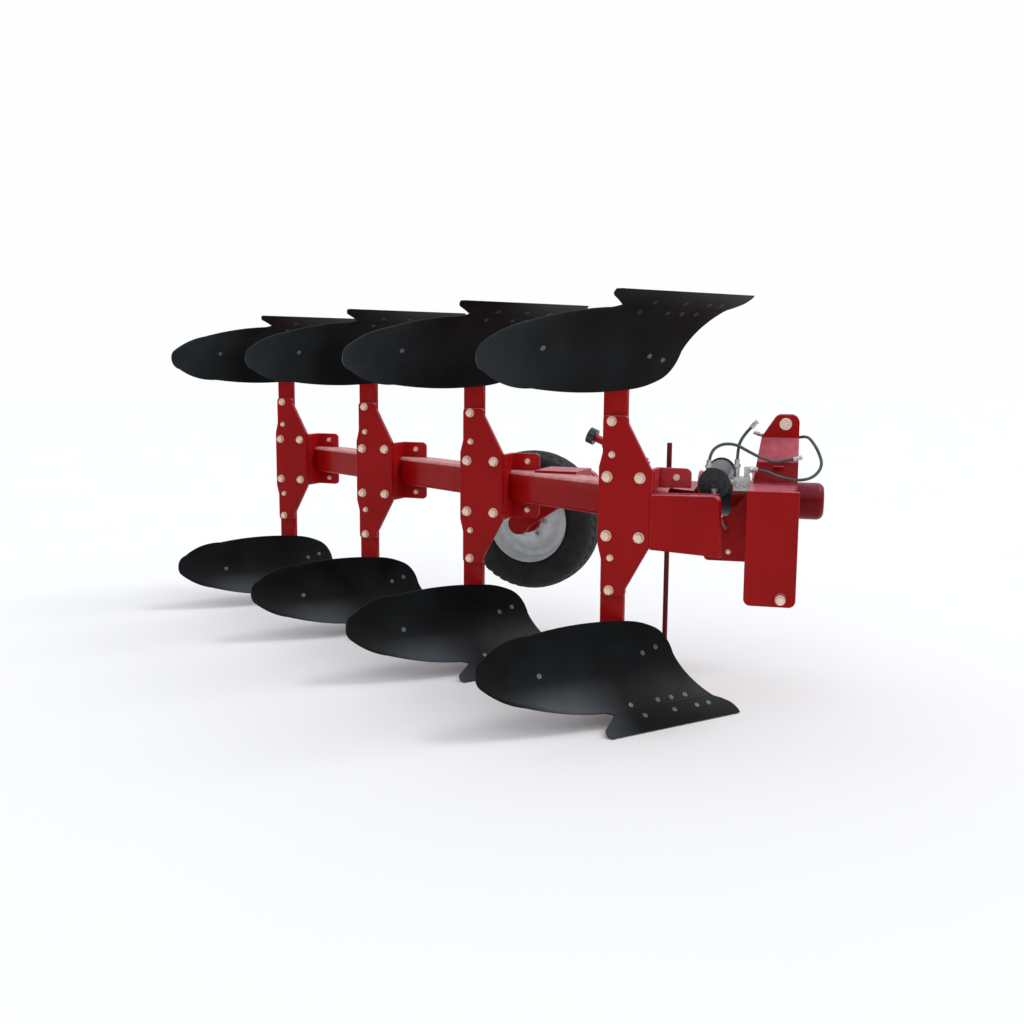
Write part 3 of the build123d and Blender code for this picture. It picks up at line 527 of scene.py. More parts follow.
def tidy_mesh(mesh: bpy.types.Mesh, flat: float = 0.0) -> None:
    """Merge points that coincide and turn the faces outwards.

    Args:
        mesh: The mesh, changed in place.
        flat: Faces that meet at less than this angle become one, in degrees.
    """
    work = bmesh.new()
    work.from_mesh(mesh)
    bmesh.ops.remove_doubles(work, verts=work.verts, dist=2e-6)
    bmesh.ops.dissolve_degenerate(work, edges=work.edges, dist=1e-6)
    if flat:
        bmesh.ops.dissolve_limit(
            work, angle_limit=math.radians(flat), verts=work.verts, edges=work.edges,
        )
    bmesh.ops.recalc_face_normals(work, faces=work.faces)
    work.to_mesh(mesh)
    work.free()
    mesh.update()


def make_piece(
    name: str, shell: Shell, body: str, finish: object,
    replaces: Sequence[str] = (), smooth_angle: float = 35.0,
) -> bpy.types.Object:
    """Put a shell into Blender as a finished piece that rides on a body.

    Args:
        name: Name of the piece.
        shell: Its mesh, in the row frame.
        body: CAD body it moves with.
        finish: Its material's description.
        replaces: CAD nodes it stands for.
        smooth_angle: Edges sharper than this stay sharp, in degrees.

    Returns:
        The Blender object.
    """
    mesh = bpy.data.meshes.new(name)
    mesh.from_pydata(shell.points.tolist(), [], shell.faces)
    if shell.marks is not None:
        marks = mesh.attributes.new("rolled", "FLOAT_VECTOR", "POINT")
        marks.data.foreach_set("vector", shell.marks.ravel())
    tidy_mesh(mesh)
    piece = bpy.data.objects.new(name, mesh)
    bpy.context.scene.collection.objects.link(piece)
    mesh.shade_smooth()
    mesh.set_sharp_from_angle(angle=math.radians(smooth_angle))
    FINISHES.dress(piece, finish)
    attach(piece, body)
    if replaces:
        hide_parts(*replaces)
    return piece


@dataclass
class Plates:
    """Copies of the flat-sided CAD pieces with their edges eased."""

    edge: float = 0.0030
    fine_edge: float = 0.0012
    segments: int = 2
    sharp: float = 28.0
    left_alone: tuple = ("moldboard", "share", "hose_", "wheel_tyre", "wheel_rim")
    fine: tuple = ("valve_block", "adjuster_knob", "hose_rest", "top_link_pin", "parking_stand")
    slots: dict = field(default_factory=lambda: {
        "top_link_pin": "pin_steel", "turnover_ram": "hydraulic_black",
        "valve_block": "hydraulic_black", "adjuster_knob": "hydraulic_black",
    })

    def build(self) -> None:
        """Make one eased piece for each such node."""
        count = 0
        for name, node in frame["nodes"].items():
            if name.startswith(self.left_alone) and name != "hose_rest":
                continue
            mesh = node.data.copy()
            mesh.name = name + "_eased"
            tidy_mesh(mesh, flat=0.5)
            piece = bpy.data.objects.new(name + "_eased", mesh)
            piece.matrix_world = node.matrix_world
            bpy.context.scene.collection.objects.link(piece)
            mesh.shade_smooth()
            mesh.set_sharp_from_angle(angle=math.radians(self.sharp))
            bevel = piece.modifiers.new("edge", "BEVEL")
            bevel.width = self.fine_edge if name.startswith(self.fine) else self.edge
            bevel.segments = self.segments
            bevel.limit_method = "ANGLE"
            bevel.angle_limit = math.radians(self.sharp)
            bevel.harden_normals = True
            FINISHES.dress(piece, finish_of(name))
            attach(piece, self.body_of(name))
            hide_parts(name)
            count += 1
        LOG.info("%d plates and bars with eased edges", count)

    def body_of(self, name: str) -> str:
        """Body that carries a node."""
        for body, nodes in frame["record"]["behaviour"]["bodies"].items():
            if name in nodes:
                return body
        raise KeyError(name)


@dataclass(frozen=True)
class Bolt:
    """Hexagon bolt head on a round washer; sizes in metres."""

    across_flats: float
    washer: float
    head_height: float
    washer_height: float = 0.0035
    stub: float = 0.0
    hole: float = 0.5
    chamfer: float = 0.3
    head_profile: Profile = ((1.0, 0.0), (1.0, 0.84), (0.93, 0.97), (0.80, 1.0), (0.30, 1.0))
    stub_radius: float = 0.55
    stub_point: float = 0.8

    def shell(self) -> Shell:
        """Head up +Z from z = 0, its washer under it.

        The head's profile is in shares of its apothem and height. The hole is a share of
        the washer's radius, the chamfer of its thickness, and the thread's stub of the
        apothem; its point starts at a share of its length and narrows by the same share.
        """
        apothem, radius = self.across_flats / 2, self.washer / 2
        hole, base, ease = radius * self.hole, self.washer_height, self.washer_height * self.chamfer
        parts = [
            turned([(hole, 0.0), (radius, 0.0), (radius, base - ease), (radius - ease, base), (hole, base)]),
            hexagon(np.array(self.head_profile) * (apothem, self.head_height) + (0, base)),
        ]
        if self.stub:
            core, point, top = apothem * self.stub_radius, self.stub_point, base + self.head_height
            parts.append(turned([
                (core, top - 0.001), (core, top + self.stub * point), (core * point, top + self.stub),
            ], 20))
        return joined(parts)


BIG_BOLT = Bolt(0.036, 0.047, 0.015)
NECK_BOLT = Bolt(0.032, 0.042, 0.014)
SMALL_BOLT = Bolt(0.022, 0.029, 0.010)
BIG_NUT = Bolt(0.036, 0.047, 0.018, stub=0.014)
SMALL_NUT = Bolt(0.022, 0.029, 0.012, stub=0.009)
GUSSET_BOLT = Bolt(0.017, 0.022, 0.008)
RAM_BOLT = Bolt(0.017, 0.022, 0.009)
PLUG = Bolt(0.019, 0.025, 0.009)


@dataclass
class Standards:
    """Bolts through the standard plates, consoles and legs of the four stations."""

    front_face: float = 0.0
    plate_back: float = 0.045
    leg_back: float = 0.055
    tab_face: float = 0.150
    big: Profile = ((0.0, 0.123), (0.140, 0.123))
    small: Profile = ((0.019, 0.215),)
    neck: Profile = ((0.016, 0.352),)
    tab: Profile = ((0.255, 0.118),)

    def bolts(self, kind: Bolt, places: Profile, y: float, toward: float) -> list[Shell]:
        """Bolts of one kind at places over and under the axis.

        Args:
            kind: The bolt.
            places: (x, z) of the upper ones; the lower ones are their mirror image.
            y: Face they sit on.
            toward: -1 for heads to the right of the plough, 1 for the left.

        Returns:
            One shell a bolt.
        """
        shell = kind.shell()
        return [
            placed(shell, (x, y, z * side), (0, toward, 0)) for x, z in places for side in (1, -1)
        ]

    def build(self) -> None:
        """Make one piece of bolts a station."""
        shells = (
            self.bolts(BIG_BOLT, self.big, self.front_face, -1)
            + self.bolts(SMALL_BOLT, self.small, self.front_face, -1)
            + self.bolts(NECK_BOLT, self.neck, self.front_face, -1)
            + self.bolts(SMALL_BOLT, self.tab, self.tab_face, -1)
            + self.bolts(BIG_NUT, self.big, self.plate_back, 1)
            + self.bolts(SMALL_NUT, (*self.small, *self.neck), self.leg_back, 1)
        )
        for number, moved in enumerate(at_stations(joined(shells)), 1):
            make_piece(f"standard_bolts_{number}", moved, "frame", ZINC)
        LOG.info("standard bolts at %d stations", LAYOUT.stations)


@dataclass
class WorkingSurface:
    """The hollow cylinder that moldboard and share are rolled on.

    A point is given by its distance along the cutting edge from the tip and its
    height over the sole. Its pitch on the cylinder follows from the height: the
    height is the radius times the cosine of the share's pitch less that of its own.
    """

    tip: tuple[float, float] = (0.546, 0.159)
    sweep: float = math.radians(53.8)
    radius: float = 0.520
    share_pitch: float = math.radians(25.0)
    sole: float = 0.857

    def at(self, along: np.ndarray, height: np.ndarray, depth: np.ndarray | float = 0.0) -> np.ndarray:
        """Points on the surface, or behind it.

        Args:
            along: Distance from the tip along the edge.
            height: Height over the sole.
            depth: Distance behind the surface.

        Returns:
            Array (..., 3) about the front station's zero, for a lower body. None lies
            below the sole.
        """
        pitch = np.arccos(np.clip(math.cos(self.share_pitch) - height / self.radius, -1, 1))
        outer = self.radius + depth
        back = self.radius * math.sin(self.share_pitch) - outer * np.sin(pitch)
        rise = np.maximum(self.radius * math.cos(self.share_pitch) - outer * np.cos(pitch), 0)
        cos, sin = math.cos(self.sweep), math.sin(self.sweep)
        return np.stack([
            self.tip[0] - along * cos + back * sin,
            self.tip[1] - along * sin - back * cos,
            rise - self.sole + 0 * along,
        ], axis=-1)

    def normal(self, height: float) -> np.ndarray:
        """Direction that the working face looks in at a height."""
        pitch = math.acos(math.cos(self.share_pitch) - height / self.radius)
        cos, sin = math.cos(self.sweep), math.sin(self.sweep)
        return np.array([math.sin(pitch) * sin, -math.sin(pitch) * cos, math.cos(pitch)])


SURFACE = WorkingSurface()


def arc_points(points: Profile, spacing: float = 0.004) -> np.ndarray:
    """Even points along arcs, every second given point the middle of an arc.

    Each arc lies on the circle through its three points, whose centre is the
    meeting of two chords' bisectors.

    Args:
        points: (along, height) pairs.
        spacing: Distance between the sampled points before they are evened out.

    Returns:
        Array (n, 2).
    """
    whole = np.array(points, float)
    runs = []
    for start, middle, end in zip(whole[:-2:2], whole[1:-1:2], whole[2::2]):
        chords = np.array([middle - start, end - start])
        centre = start + np.linalg.solve(2 * chords, (chords ** 2).sum(axis=1))
        radius = np.linalg.norm(start - centre)
        a0, am, a1 = (math.atan2(*(point - centre)[::-1]) for point in (start, middle, end))
        turn = (a1 - a0) % TAU
        if (am - a0) % TAU > turn:
            turn -= TAU
        steps = max(4, int(abs(turn) * radius / spacing))
        angle = a0 + turn * np.arange(steps + 1) / steps
        runs.append(centre + radius * np.column_stack([np.cos(angle), np.sin(angle)]))
    return np.vstack(runs)


def evened(points: np.ndarray, count: int) -> np.ndarray:
    """Points spread evenly by length along a polyline."""
    run = np.concatenate([[0.0], np.cumsum(np.linalg.norm(np.diff(points, axis=0), axis=1))])
    at = np.linspace(0, run[-1], count)
    return np.column_stack([np.interp(at, run, column) for column in points.T])


@dataclass
class BodyPlates:
    """Moldboards and shares: rolled plates with rounded edges.

    A plate lies between a lower and an upper edge line that meet at both ends. A
    point's height between them is a share of their distance; the front face, the
    rounded rim and the back face follow each other round each column. The bulge is
    how far a quarter round's middle stays from its two sides, as a share of it.
    """

    thick: float = 0.010
    edge: float = 0.0022
    bulge: float = 0.29
    seam_edge: float = 0.0004
    columns: int = 150
    rows: int = 26
    gap: float = 0.0002
    most_ease: float = 0.45
    foot: float = 0.058
    shin: Profile = (
        (0.058, 0.058), (0.122, 0.128), (0.165, 0.222), (0.184, 0.290), (0.232, 0.334),
        (0.310, 0.363), (0.400, 0.377), (0.620, 0.388), (0.860, 0.371), (1.000, 0.350),
        (1.075, 0.310), (1.108, 0.289), (1.1225, 0.255),
    )
    heel: Profile = (
        (0.610, 0.067), (0.780, 0.086), (0.950, 0.126), (1.050, 0.162), (1.118, 0.212),
        (1.125, 0.234), (1.1225, 0.255),
    )
    wing: Profile = ((0.642, 0.0), (0.657, 0.0015), (0.6625, 0.009))
    notch: Profile = (
        (0.575, 0.058), (0.612, 0.041), (0.652, 0.026), (0.661, 0.018), (0.6625, 0.009),
    )
    nose: Profile = (
        (-0.0132, 0.010), (-0.0112, 0.023), (-0.001, 0.034), (0.028, 0.048), (0.058, 0.058),
    )
    nose_under: Profile = ((-0.0132, 0.010), (-0.0100, 0.002), (0.002, 0.0))

    def edges(self, line: np.ndarray) -> np.ndarray:
        """Rounding along an edge line, small where moldboard and share meet."""
        on_seam = (np.abs(line[:, 1] - self.foot) < 0.001) & (line[:, 0] < self.notch[0][0])
        return np.where(on_seam, self.seam_edge, self.edge)

    def plate(self, low: np.ndarray, high: np.ndarray) -> Shell:
        """Closed plate between two edge lines on the working surface.

        Args:
            low: Lower edge line as (along, height) points.
            high: Upper edge line, with the same two ends.

        Returns:
            The shell, for a lower body at the front station.
        """
        low, high = evened(low, self.columns), evened(high, self.columns)
        width = np.maximum(np.linalg.norm(high - low, axis=1), 1e-6)
        ease_low, ease_high = (
            np.minimum(self.edges(line) / width, self.most_ease)[:, None] for line in (low, high)
        )
        across = np.linspace(0, 1, self.rows)[None, :]
        front = ease_low + (1 - ease_low - ease_high) * across
        full = np.ones_like(ease_low)
        upper, lower = 1 - self.bulge * ease_high, self.bulge * ease_low
        upper_rim = [upper, full, full, upper]
        lower_rim = [lower, 0 * full, 0 * full, lower]
        place = np.hstack([front, *upper_rim, front[:, ::-1], *lower_rim])
        e, t = self.edge, self.thick
        rim_depth = np.array([self.bulge * e, e, t - e, t - self.bulge * e])
        depth = np.concatenate([np.zeros(self.rows), rim_depth, np.full(self.rows, t), rim_depth[::-1]])
        flat = low[:, None, :] + place[..., None] * (high - low)[:, None, :]
        points = SURFACE.at(flat[..., 0], flat[..., 1], depth[None, :])
        columns, ring, _ = points.shape
        marks = np.dstack([flat, np.ones((columns, ring))]).reshape(-1, 3)
        return Shell(points.reshape(-1, 3), grid_faces(columns, ring).tolist(), marks)

    def moldboard(self) -> Shell:
        """Moldboard from its shin foot to the tail."""
        high = arc_points(self.shin)
        foot = np.array([[self.shin[0][0], self.foot], [self.notch[0][0], self.foot]])
        low = np.vstack([foot, arc_points(self.heel)])
        lift = np.array([0.0, self.gap])
        return self.plate(low + lift, high + lift)

    def share(self) -> Shell:
        """Share from its nose to its wing."""
        high = np.vstack([arc_points(self.nose), arc_points(self.notch)])
        low = np.vstack([arc_points(self.nose_under), arc_points(self.wing)])
        return self.plate(low, high)

    def build(self) -> None:
        """Make a moldboard and a share for each body."""
        for kind, shell in (("moldboard", self.moldboard()), ("share", self.share())):
            for row, ending, moved in at_bodies(shell):
                # The third mark is 1 on the lower row, which gets the painted highlight, and 0 on the upper
                # row, which gets the painted tail light.
                moved.marks = shell.marks * (1, 1, 1 if row is Row.LOWER else 0)
                node = f"{kind}_{ending}"
                make_piece(node + "_plate", moved, "frame", BLACK, [node], smooth_angle=50.0)
        LOG.info("moldboards and shares of %d bodies", 2 * LAYOUT.stations)


@dataclass
class Bodies:
    """Plough bolts on the working surfaces of the eight bodies."""

    head: float = 0.0110
    foot: Profile = (
        (0.107, 0.040), (0.170, 0.040), (0.290, 0.040), (0.442, 0.040),
        (0.196, 0.076), (0.270, 0.076), (0.340, 0.076), (0.479, 0.076),
    )
    board: Profile = ((0.323, 0.241), (0.249, 0.256), (0.846, 0.218))

    def head_shell(self) -> Shell:
        """Round countersunk head, nearly flush, with a small dimple."""
        r = self.head
        return turned([
            (r, -0.002), (r, 0.0006), (r * 0.92, 0.0014), (r * 0.45, 0.0016), (r * 0.36, 0.0008),
            (r * 0.1, 0.0006),
        ], 20)

    def build(self) -> None:
        """Make two pieces of bolts a body: those at its foot and those on the board."""
        head = self.head_shell()
        # The upper row's foot bolts face down and take the darker copy of the bolt metal: painted shade.
        for kind, places, upper_finish in (("foot", self.foot, SHADED_BOLT), ("board", self.board, DULL_BOLT)):
            whole = joined([
                placed(head, SURFACE.at(np.array(along), np.array(height)), SURFACE.normal(height))
                for along, height in places
            ])
            for row, ending, moved in at_bodies(whole):
                finish = DULL_BOLT if row is Row.LOWER else upper_finish
                make_piece(f"{kind}_bolts_{ending}", moved, "frame", finish)
        LOG.info("plough bolts on %d bodies", 2 * LAYOUT.stations)


def smooth_loop(points: Profile, steps: int = 6) -> np.ndarray:
    """Closed Catmull-Rom line through points.

    Each span is the cubic with the slope at an end half the way between its
    neighbours.

    Args:
        points: Corners of the loop.
        steps: Points on each span.

    Returns:
        Array (n, 2).
    """
    p1 = np.array(points, float)
    p0, p2, p3 = np.roll(p1, 1, axis=0), np.roll(p1, -1, axis=0), np.roll(p1, -2, axis=0)
    t = (np.arange(steps) / steps)[None, :, None]
    p0, p1, p2, p3 = (p[:, None, :] for p in (p0, p1, p2, p3))
    line = 0.5 * (
        2 * p1 + (p2 - p0) * t + (2 * p0 - 5 * p1 + 4 * p2 - p3) * t ** 2
        + (3 * p1 - p0 - 3 * p2 + p3) * t ** 3
    )
    return line.reshape(-1, 2)


@dataclass
class Wheel:
    """Tyre, rim, nuts and cap of the depth wheel, about its own axis."""

    centre: tuple = (-0.773, 1.150, -0.242)
    segments: int = 240
    steps: int = 7
    smooth_angle: float = 40.0
    tread_from: float = 0.352
    groove_half: float = 0.0045
    groove_depth: float = 0.006
    grooves: tuple = (-0.036, 0.0, 0.036)
    lugs: int = 44
    lug_depth: float = 0.006
    lug_skew: float = 6.0
    lug_gap: float = 0.4
    lug_start: float = 0.048
    lug_offset: float = 0.5
    nuts: int = 6
    nut_circle: float = 0.084
    disc_face: float = -0.046
    disc_back: float = -0.037
    cap_face: float = -0.084
    side: Profile = (
        (0.2222, 0.080), (0.228, 0.088), (0.246, 0.101), (0.268, 0.1085), (0.284, 0.1130),
        (0.300, 0.1148), (0.318, 0.1125), (0.334, 0.1065), (0.349, 0.0960), (0.3585, 0.0860),
        (0.3645, 0.0700), (0.3690, 0.0480), (0.3710, 0.0240),
    )
    rim: Profile = (
        (0.061, -0.046), (0.104, -0.046), (0.114, -0.044), (0.158, -0.021), (0.176, -0.014),
        (0.195, -0.020), (0.207, -0.044), (0.212, -0.062), (0.2145, -0.078), (0.219, -0.0845),
        (0.226, -0.0880), (0.2310, -0.0865), (0.2318, -0.0815), (0.2250, -0.0800), (0.2212, -0.076),
        (0.2212, 0.076), (0.2250, 0.0800), (0.2318, 0.0815), (0.2310, 0.0865), (0.226, 0.0880),
        (0.219, 0.0845), (0.2145, 0.078), (0.213, 0.020), (0.192, 0.004), (0.176, -0.004),
        (0.158, -0.012), (0.114, -0.036), (0.104, -0.037), (0.061, -0.037),
    )
    cap: Profile = (
        (0.040, 0.0), (0.040, 0.006), (0.037, 0.008), (0.037, 0.016), (0.034, 0.021), (0.026, 0.024),
        (0.010, 0.0255),
    )

    def revolved(self, radius: np.ndarray, across: np.ndarray) -> Shell:
        """Closed ring from radii and places across, each array (segments, profile)."""
        angle = (np.arange(self.segments) * TAU / self.segments)[:, None]
        points = np.stack([radius * np.cos(angle), across + 0 * angle, radius * np.sin(angle)], axis=-1)
        rings, columns, _ = points.shape
        closed = np.concatenate([points, points[:1]])
        return Shell(closed.reshape(-1, 3), grid_faces(rings + 1, columns).tolist())

    def tyre(self) -> Shell:
        """Tyre whose tread is cut by grooves round it and lugs at its shoulders.

        A groove takes its depth where a point lies near its line. Between lugs the
        depth is taken off outside the outer grooves for a share of each pitch, and the
        gaps lean by so many pitches a metre across.
        """
        mirrored = [(radius, -across) for radius, across in reversed(self.side)]
        line = smooth_loop([*self.side, *mirrored], self.steps)
        radius = np.broadcast_to(line[:, 0], (self.segments, len(line))).copy()
        across = line[:, 1][None, :]
        on_tread = radius > self.tread_from
        for groove in self.grooves:
            radius -= self.groove_depth * on_tread * (np.abs(across - groove) < self.groove_half)
        turn = np.arange(self.segments)[:, None] / self.segments * self.lugs + across * self.lug_skew
        gap = ((turn + (across > 0) * self.lug_offset) % 1.0) < self.lug_gap
        radius -= self.lug_depth * on_tread * gap * (np.abs(across) > self.lug_start)
        return self.revolved(radius, across)

    def at(self, points: np.ndarray) -> np.ndarray:
        """Points about the wheel's centre, put in the row frame."""
        return LAYOUT.station(0, points + np.array(self.centre))

    def build(self) -> None:
        """Make the wheel's pieces."""
        line = np.array(self.rim)
        rim = self.revolved(line[:, 0][None, :], line[:, 1][None, :])
        for name, shell, finish, slot, node in (
            ("wheel_tyre_worn", self.tyre(), TYRE, "tyre", "wheel_tyre"),
            ("wheel_rim_dished", rim, SILVER, "rim_silver", "wheel_rim"),
        ):
            make_piece(name, shell.moved(self.at), "wheel", finish, [node], self.smooth_angle)
        angles = np.arange(self.nuts) * TAU / self.nuts
        nut = SMALL_NUT.shell()
        nuts = joined([
            placed(nut, (self.nut_circle * math.cos(a), face, self.nut_circle * math.sin(a)), (0, toward, 0))
            for face, toward in ((self.disc_face, -1), (self.disc_back, 1)) for a in angles
        ])
        make_piece("wheel_nuts", nuts.moved(self.at), "wheel", FITTING)
        cap = turned(self.cap, 32)
        inner_cap = placed(cap, (0.0, self.cap_face, 0.0), (0, -1, 0))
        make_piece("wheel_cap", inner_cap.moved(self.at), "wheel", RED)
        low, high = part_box("wheel_hub")
        outer_cap = placed(cap, ((low.x + high.x) / 2, high.y, (low.z + high.z) / 2), (0, 1, 0))
        make_piece("wheel_cap_outer", outer_cap, "wheel", RED)
        LOG.info("wheel dressed")


@dataclass
class Headstock:
    """Fittings, bolts and beads of the headstock, ahead, across and up in it."""

    sleeve_length: float = 0.080
    nose_start: float = 0.181
    nose_radius: float = 0.0803
    nose_round: float = 0.030
    nose_straight: float = 0.004
    nose_middle: float = 0.3
    ram_centre: tuple = (-0.238, 0.096)
    ram_face: float = -0.330
    ram_bolts: int = 6
    ram_circle: float = 0.050
    pin_bolt: tuple = (0.045, 0.4725, -0.350)
    gusset_bolt: tuple = (-0.174, 0.257, -0.198)
    ferrules: tuple = (
        ((-0.262, -0.312, 0.160), (0, 0, 1)), ((-0.150, -0.242, 0.160), (0, 0, 1)),
        ((-0.098, -0.226, 0.150), (1, 0, 0)), ((-0.236, -0.346, 0.078), (0, 0, -1)),
    )
    plugs: tuple = (
        ((-0.145, -0.262, 0.090), (0, -1, 0)), ((-0.114, -0.262, 0.090), (0, -1, 0)),
        ((-0.163, -0.226, 0.096), (-1, 0, 0)),
    )
    beads: tuple = (
        ((-0.085, 0.166, 0.086), (0.100, 0.166, 0.086)),
        ((-0.096, 0.249, -0.070), (-0.096, 0.249, 0.052)),
        ((-0.096, 0.4375, -0.075), (-0.096, 0.4375, 0.080)),
        ((-0.090, 0.4375, -0.076), (0.085, 0.4375, -0.076)),
        ((0.086, 0.4375, -0.075), (0.086, 0.4375, 0.080)),
        ((-0.040, 0.166, -0.076), (-0.090, 0.166, -0.076)),
    )

    def ferrule(self) -> Shell:
        """Hexagon and crimped sleeve at the foot of a hose."""
        nut = hexagon([
            (0.0122, 0.0), (0.0130, 0.0008), (0.0130, 0.0125), (0.0120, 0.0135), (0.0075, 0.0135),
        ])
        sleeve = turned([
            (0.0090, 0.0130), (0.0104, 0.0138), (0.0104, 0.0190), (0.0095, 0.0196), (0.0095, 0.0212),
            (0.0104, 0.0218), (0.0104, 0.0260), (0.0095, 0.0266), (0.0095, 0.0282), (0.0104, 0.0288),
            (0.0104, 0.0330), (0.0085, 0.0338),
        ])
        return joined([nut, sleeve])

    def nose(self) -> Shell:
        """Bearing sleeve that ends in a quarter round and a flat."""
        turn = np.linspace(0, math.pi / 2, 12)
        inner = self.nose_radius - self.nose_round
        radii = inner + self.nose_round * np.cos(turn)
        heights = self.nose_straight + self.nose_round * np.sin(turn)
        profile = [(self.nose_radius, -self.sleeve_length), (self.nose_radius, 0.0)]
        profile += [*zip(radii, heights), (inner * self.nose_middle, self.nose_straight + self.nose_round)]
        return placed(turned(profile, 72), (self.nose_start, 0, 0), (1, 0, 0))

    def bolt_pair(self, bolt: Bolt, at: Sequence[float]) -> list[Shell]:
        """A bolt at a point and its image across the headstock's middle, heads outwards."""
        ahead, across, up = at
        return [placed(bolt.shell(), (ahead, across * side, up), (0, side, 0)) for side in (-1, 1)]

    def cap_bolts(self) -> list[Shell]:
        """Bolts in a circle on the ram's end cap."""
        ahead, up = self.ram_centre
        angles = np.arange(self.ram_bolts) * TAU / self.ram_bolts
        places = zip(ahead + self.ram_circle * np.cos(angles), up + self.ram_circle * np.sin(angles))
        return [placed(RAM_BOLT.shell(), (p, self.ram_face, z), (0, -1, 0)) for p, z in places]

    def build(self) -> None:
        """Make the headstock's small pieces."""
        ferrule, plug = self.ferrule(), PLUG.shell()
        fittings = [placed(ferrule, at, axis) for at, axis in self.ferrules]
        fittings += [placed(plug, at, axis) for at, axis in self.plugs]
        beads = [
            BEAD.shell((p0, q0 * side, z0), (p1, q1 * side, z1))
            for (p0, q0, z0), (p1, q1, z1) in self.beads for side in (-1, 1)
        ]
        pieces = (
            ("bearing_nose", [self.nose()], SHADED_RED, "frame_red"),
            ("pin_bolts", self.bolt_pair(NECK_BOLT, self.pin_bolt), ZINC, "pin_steel"),
            ("gusset_bolts", self.bolt_pair(GUSSET_BOLT, self.gusset_bolt), ZINC, "pin_steel"),
            ("hydraulic_fittings", fittings, FITTING, "pin_steel"),
            ("ram_bolts", self.cap_bolts(), HYDRAULIC, "hydraulic_black"),
            ("headstock_welds", beads, RED, "frame_red"),
        )
        for name, shells, finish, slot in pieces:
            make_piece(name, joined(shells).moved(LAYOUT.headstock), "headstock", finish)
        LOG.info("headstock dressed")


@dataclass(frozen=True)
class Bead:
    """Straight weld bead, its radius rippled along its length.

    The radius is the mean one times one plus the ripple's share of a sine, and a
    smaller share of it at the two ends.
    """

    radius: float = 0.0038
    ripple: float = 0.12
    wave: float = 0.005
    spacing: float = 0.0012
    end_share: float = 0.4

    def shell(self, start: Sequence[float], end: Sequence[float]) -> Shell:
        """The bead from one point to another."""
        run = np.array(end, float) - np.array(start, float)
        length = float(np.linalg.norm(run))
        height = np.linspace(0, length, max(8, int(length / self.spacing)))
        size = self.radius * (1 + self.ripple * np.sin(height * TAU / self.wave))
        size[[0, -1]] *= self.end_share
        return placed(turned(list(zip(size, height)), 10), start, run)


BEAD = Bead()


@dataclass
class Welds:
    """Beads along the joints of the consoles and the front frame."""

    console: tuple = (
        ((0.186, 0.046, -0.150), (0.186, 0.046, 0.150)), ((0.186, 0.149, -0.152), (0.186, 0.149, 0.152)),
        ((0.164, 0.149, -0.152), (0.164, 0.149, 0.152)), ((-0.031, 0.046, -0.150), (-0.031, 0.046, 0.150)),
    )
    front: tuple = (
        ((0.187, 0.002, -0.165), (0.187, 0.002, 0.050)), ((0.187, 0.058, 0.057), (0.455, 0.058, 0.064)),
    )

    def build(self) -> None:
        """Make one piece of beads a station and one for the front frame."""
        console = joined([BEAD.shell(*ends) for ends in self.console])
        for number, moved in enumerate(at_stations(console), 1):
            make_piece(f"console_welds_{number}", moved, "frame", RED)
        front = at_stations(joined([BEAD.shell(*ends) for ends in self.front]))[0]
        make_piece("front_welds", front, "frame", RED)
        LOG.info("weld beads laid")


